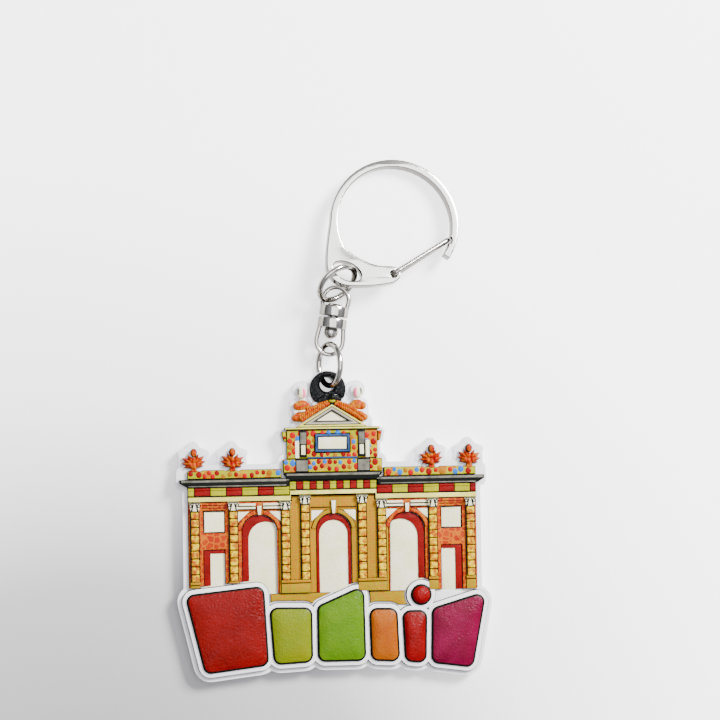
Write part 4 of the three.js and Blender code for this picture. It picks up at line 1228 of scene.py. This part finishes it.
def swivel_half(name, node, body, up):
    """A collar turned about the swivel's axis, and a U of strap. The U's legs spread a little by a
    smooth step from inside the collar, and meet in a half circle whose top is the bar that the ring pulls."""
    along = unit(joints["swivel_spin"]["axis"])
    along = along if along[1] > 0 else -along
    points, _ = node_points(node)
    near = points @ along * up
    rivet, _ = node_points("swivel_rivet")
    centre = (rivet - np.outer(rivet @ along, along)).mean(0)
    legs = points[near > near.max() - COLLAR["clear"] * MM] - centre
    legs -= np.outer(legs @ along, along)
    side = unit(legs[np.linalg.norm(legs, axis=1).argmax()])
    normal = np.cross(side, along)
    radius = np.abs((points - centre) @ normal).max()
    height, bore, edge = (COLLAR[word] * MM for word in ("height", "bore", "round"))
    start = near.min()
    soft = edge * (1 - math.sqrt(0.5))
    profile = [(bore, 0), (radius - edge, 0), (radius - soft, soft), (radius, edge), (radius, height - edge),
               (radius - soft, height - soft), (radius - edge, height), (bore, height)]
    base = centre + along * up * start
    mould = Mould().lathe(profile, base, along * up, 64)
    half, foot = YOKE["half"] * MM, YOKE["foot"] * MM
    bar = near.max() - YOKE["strap"][0] * MM - start
    bend = bar - half
    way = np.linspace(0, 1, 9)[:-1]
    leg_across = foot + (half - foot) * way * way * (3 - 2 * way)
    leg = np.stack([leg_across, height / 2 + (bend - height / 2) * way], 1)
    angles = np.linspace(0, math.pi, 29)
    bow = np.stack([half * np.cos(angles), bend + half * np.sin(angles)], 1)
    flat = np.concatenate([leg, bow, (leg * (-1, 1))[::-1]])
    path = base + flat[:, :1] * side + flat[:, 1:] * along * up
    angles = np.linspace(0, 2 * math.pi, 25)[:-1]
    wheel = np.stack([np.cos(angles), np.sin(angles)], 1)
    section = np.array(YOKE["strap"]) * MM * np.sign(wheel) * np.abs(wheel) ** 0.8
    mould.sweep(path, section, up=normal)
    mould.build(name, [WIRE], body, "nickel_steel", (node,))


def metal():
    wire_ring("lower_ring_wire", "lower_jump_ring", "lower_ring")
    wire_ring("upper_ring_wire", "upper_jump_ring", "upper_ring")
    swivel_half("swivel_lower_half", "swivel_lower", "lower_half", -1)
    swivel_half("swivel_upper_half", "swivel_upper", "upper_half", 1)
    for name, node, body, rounds in (("swivel_rivet_pin", "swivel_rivet", "upper_half", 3),
                                     ("gate_wire", "hook_gate", "gate", 2)):
        rounded_copy(name, node, body, SATIN, 0.0001, rounds, 35, 35, True)
    hook()


base_plate()
tab()
facade()
tiles()
columns()
pedestals()
bands()
attic()
pediment()
finials()
figures()
garlands()
arches()
metal()

# ---------------------------------------------------------------- stage, lights and camera


def stage():
    """A pale table, wide enough for every view. Its colour darkens towards one spot beside the charm as a
    painted shadow, and away from that spot the table glows, as painted light.
    """
    half = 1.6
    mesh = bpy.data.meshes.new("table")
    corners = [(-half, -half, 0), (half, -half, 0), (half, half, 0), (-half, half, 0)]
    mesh.from_pydata(corners, [], [(0, 1, 2, 3)])
    table = bpy.data.objects.new("table", mesh)
    bpy.context.collection.objects.link(table)
    finish = Finish("pale_table_painted_light", tint(930, 930, 930), 0.75, specular=0.2)
    # a round gradient centred on the painted shadow beside the charm
    painted_shadow_spot = finish.add("ShaderNodeTexGradient", gradient_type="SPHERICAL")
    place = finish.add("ShaderNodeMapping", Location=(0.34, 0.62, 0), Scale=(7.2, 7.2, 1.0))
    finish.link(finish.place, place.inputs["Vector"])
    finish.link(place.outputs["Vector"], painted_shadow_spot.inputs["Vector"])
    # glow strength: none at the painted shadow, rising away from it, so the table shines as painted light
    amount = finish.add("ShaderNodeMapRange")
    amount.inputs["From Min"].default_value, amount.inputs["From Max"].default_value = 0.0, 0.6
    amount.inputs["To Min"].default_value, amount.inputs["To Max"].default_value = 2.2, 0.0
    finish.link(painted_shadow_spot.outputs["Fac"], amount.inputs["Value"])
    # base colour: pale far off, dark at the spot, as painted shadow
    finish.colour(finish.ramp(painted_shadow_spot.outputs["Fac"], [(0.0, tint(930, 925, 935)), (0.35, tint(900, 890, 905)),
                                                   (0.62, tint(520, 510, 525)), (0.95, tint(330, 322, 335))]))
    finish.set(finish.shader, "Emission Color", (1, 0.985, 1, 1))
    finish.link(amount.outputs["Result"], finish.shader.inputs["Emission Strength"])
    mesh.materials.append(finish.material)


def area_light(name, place, aim, size, power, colour=(1, 1, 1)):
    light = bpy.data.lights.new(name, "AREA")
    light.shape, light.size, light.energy, light.color = "SQUARE", size, power, colour
    lamp = bpy.data.objects.new(name, light)
    lamp.location = place
    lamp.rotation_mode = "QUATERNION"
    lamp.rotation_quaternion = (Vector(aim) - Vector(place)).to_track_quat("-Z", "Y")
    bpy.context.collection.objects.link(lamp)


def lighting():
    """A soft key from the upper right, a broad overhead card and an even, pale room."""
    world = bpy.data.worlds.new("room")
    world.use_nodes = True
    world.node_tree.nodes["Background"].inputs["Color"].default_value = (0.9, 0.9, 0.95, 1)
    world.node_tree.nodes["Background"].inputs["Strength"].default_value = 0.32
    bpy.context.scene.world = world
    area_light("key", (0.36, 0.3, 0.42), (0, 0, 0), 0.22, 13.0, (1, 0.985, 0.96))
    area_light("overhead", (0.0, 0.05, 0.75), (0, 0, 0), 0.7, 5.0)


CAMERA_REACH = 0.45
CAMERA_LEAN = math.radians(8)
CAMERA_DIP = math.radians(2)
CAMERA_ROLL = math.radians(1.0)
FRAME_WIDTH = 0.1435
AIM = (5.6, 11.5)


def camera():
    """Looks down at the keychain from a little to its left, from far enough to keep it square."""
    data = bpy.data.cameras.new("camera")
    data.sensor_width = 36
    data.lens = 36 * CAMERA_REACH / FRAME_WIDTH
    data.clip_start, data.clip_end = 0.01, 20
    seat = bpy.data.objects.new("camera", data)
    bpy.context.collection.objects.link(seat)
    aim = Vector((AIM[0] * MM, AIM[1] * MM, PLATE_TOP))
    back = Vector((-math.tan(CAMERA_LEAN), -math.tan(CAMERA_DIP), 1)).normalized()
    up = Vector((math.sin(CAMERA_ROLL), math.cos(CAMERA_ROLL), 0))
    right = up.cross(back).normalized()
    up = back.cross(right)
    turn = Matrix((right, up, back)).transposed().to_4x4()
    seat.matrix_world = Matrix.Translation(aim + back * CAMERA_REACH) @ turn
    bpy.context.scene.camera = seat


stage()
lighting()
camera()
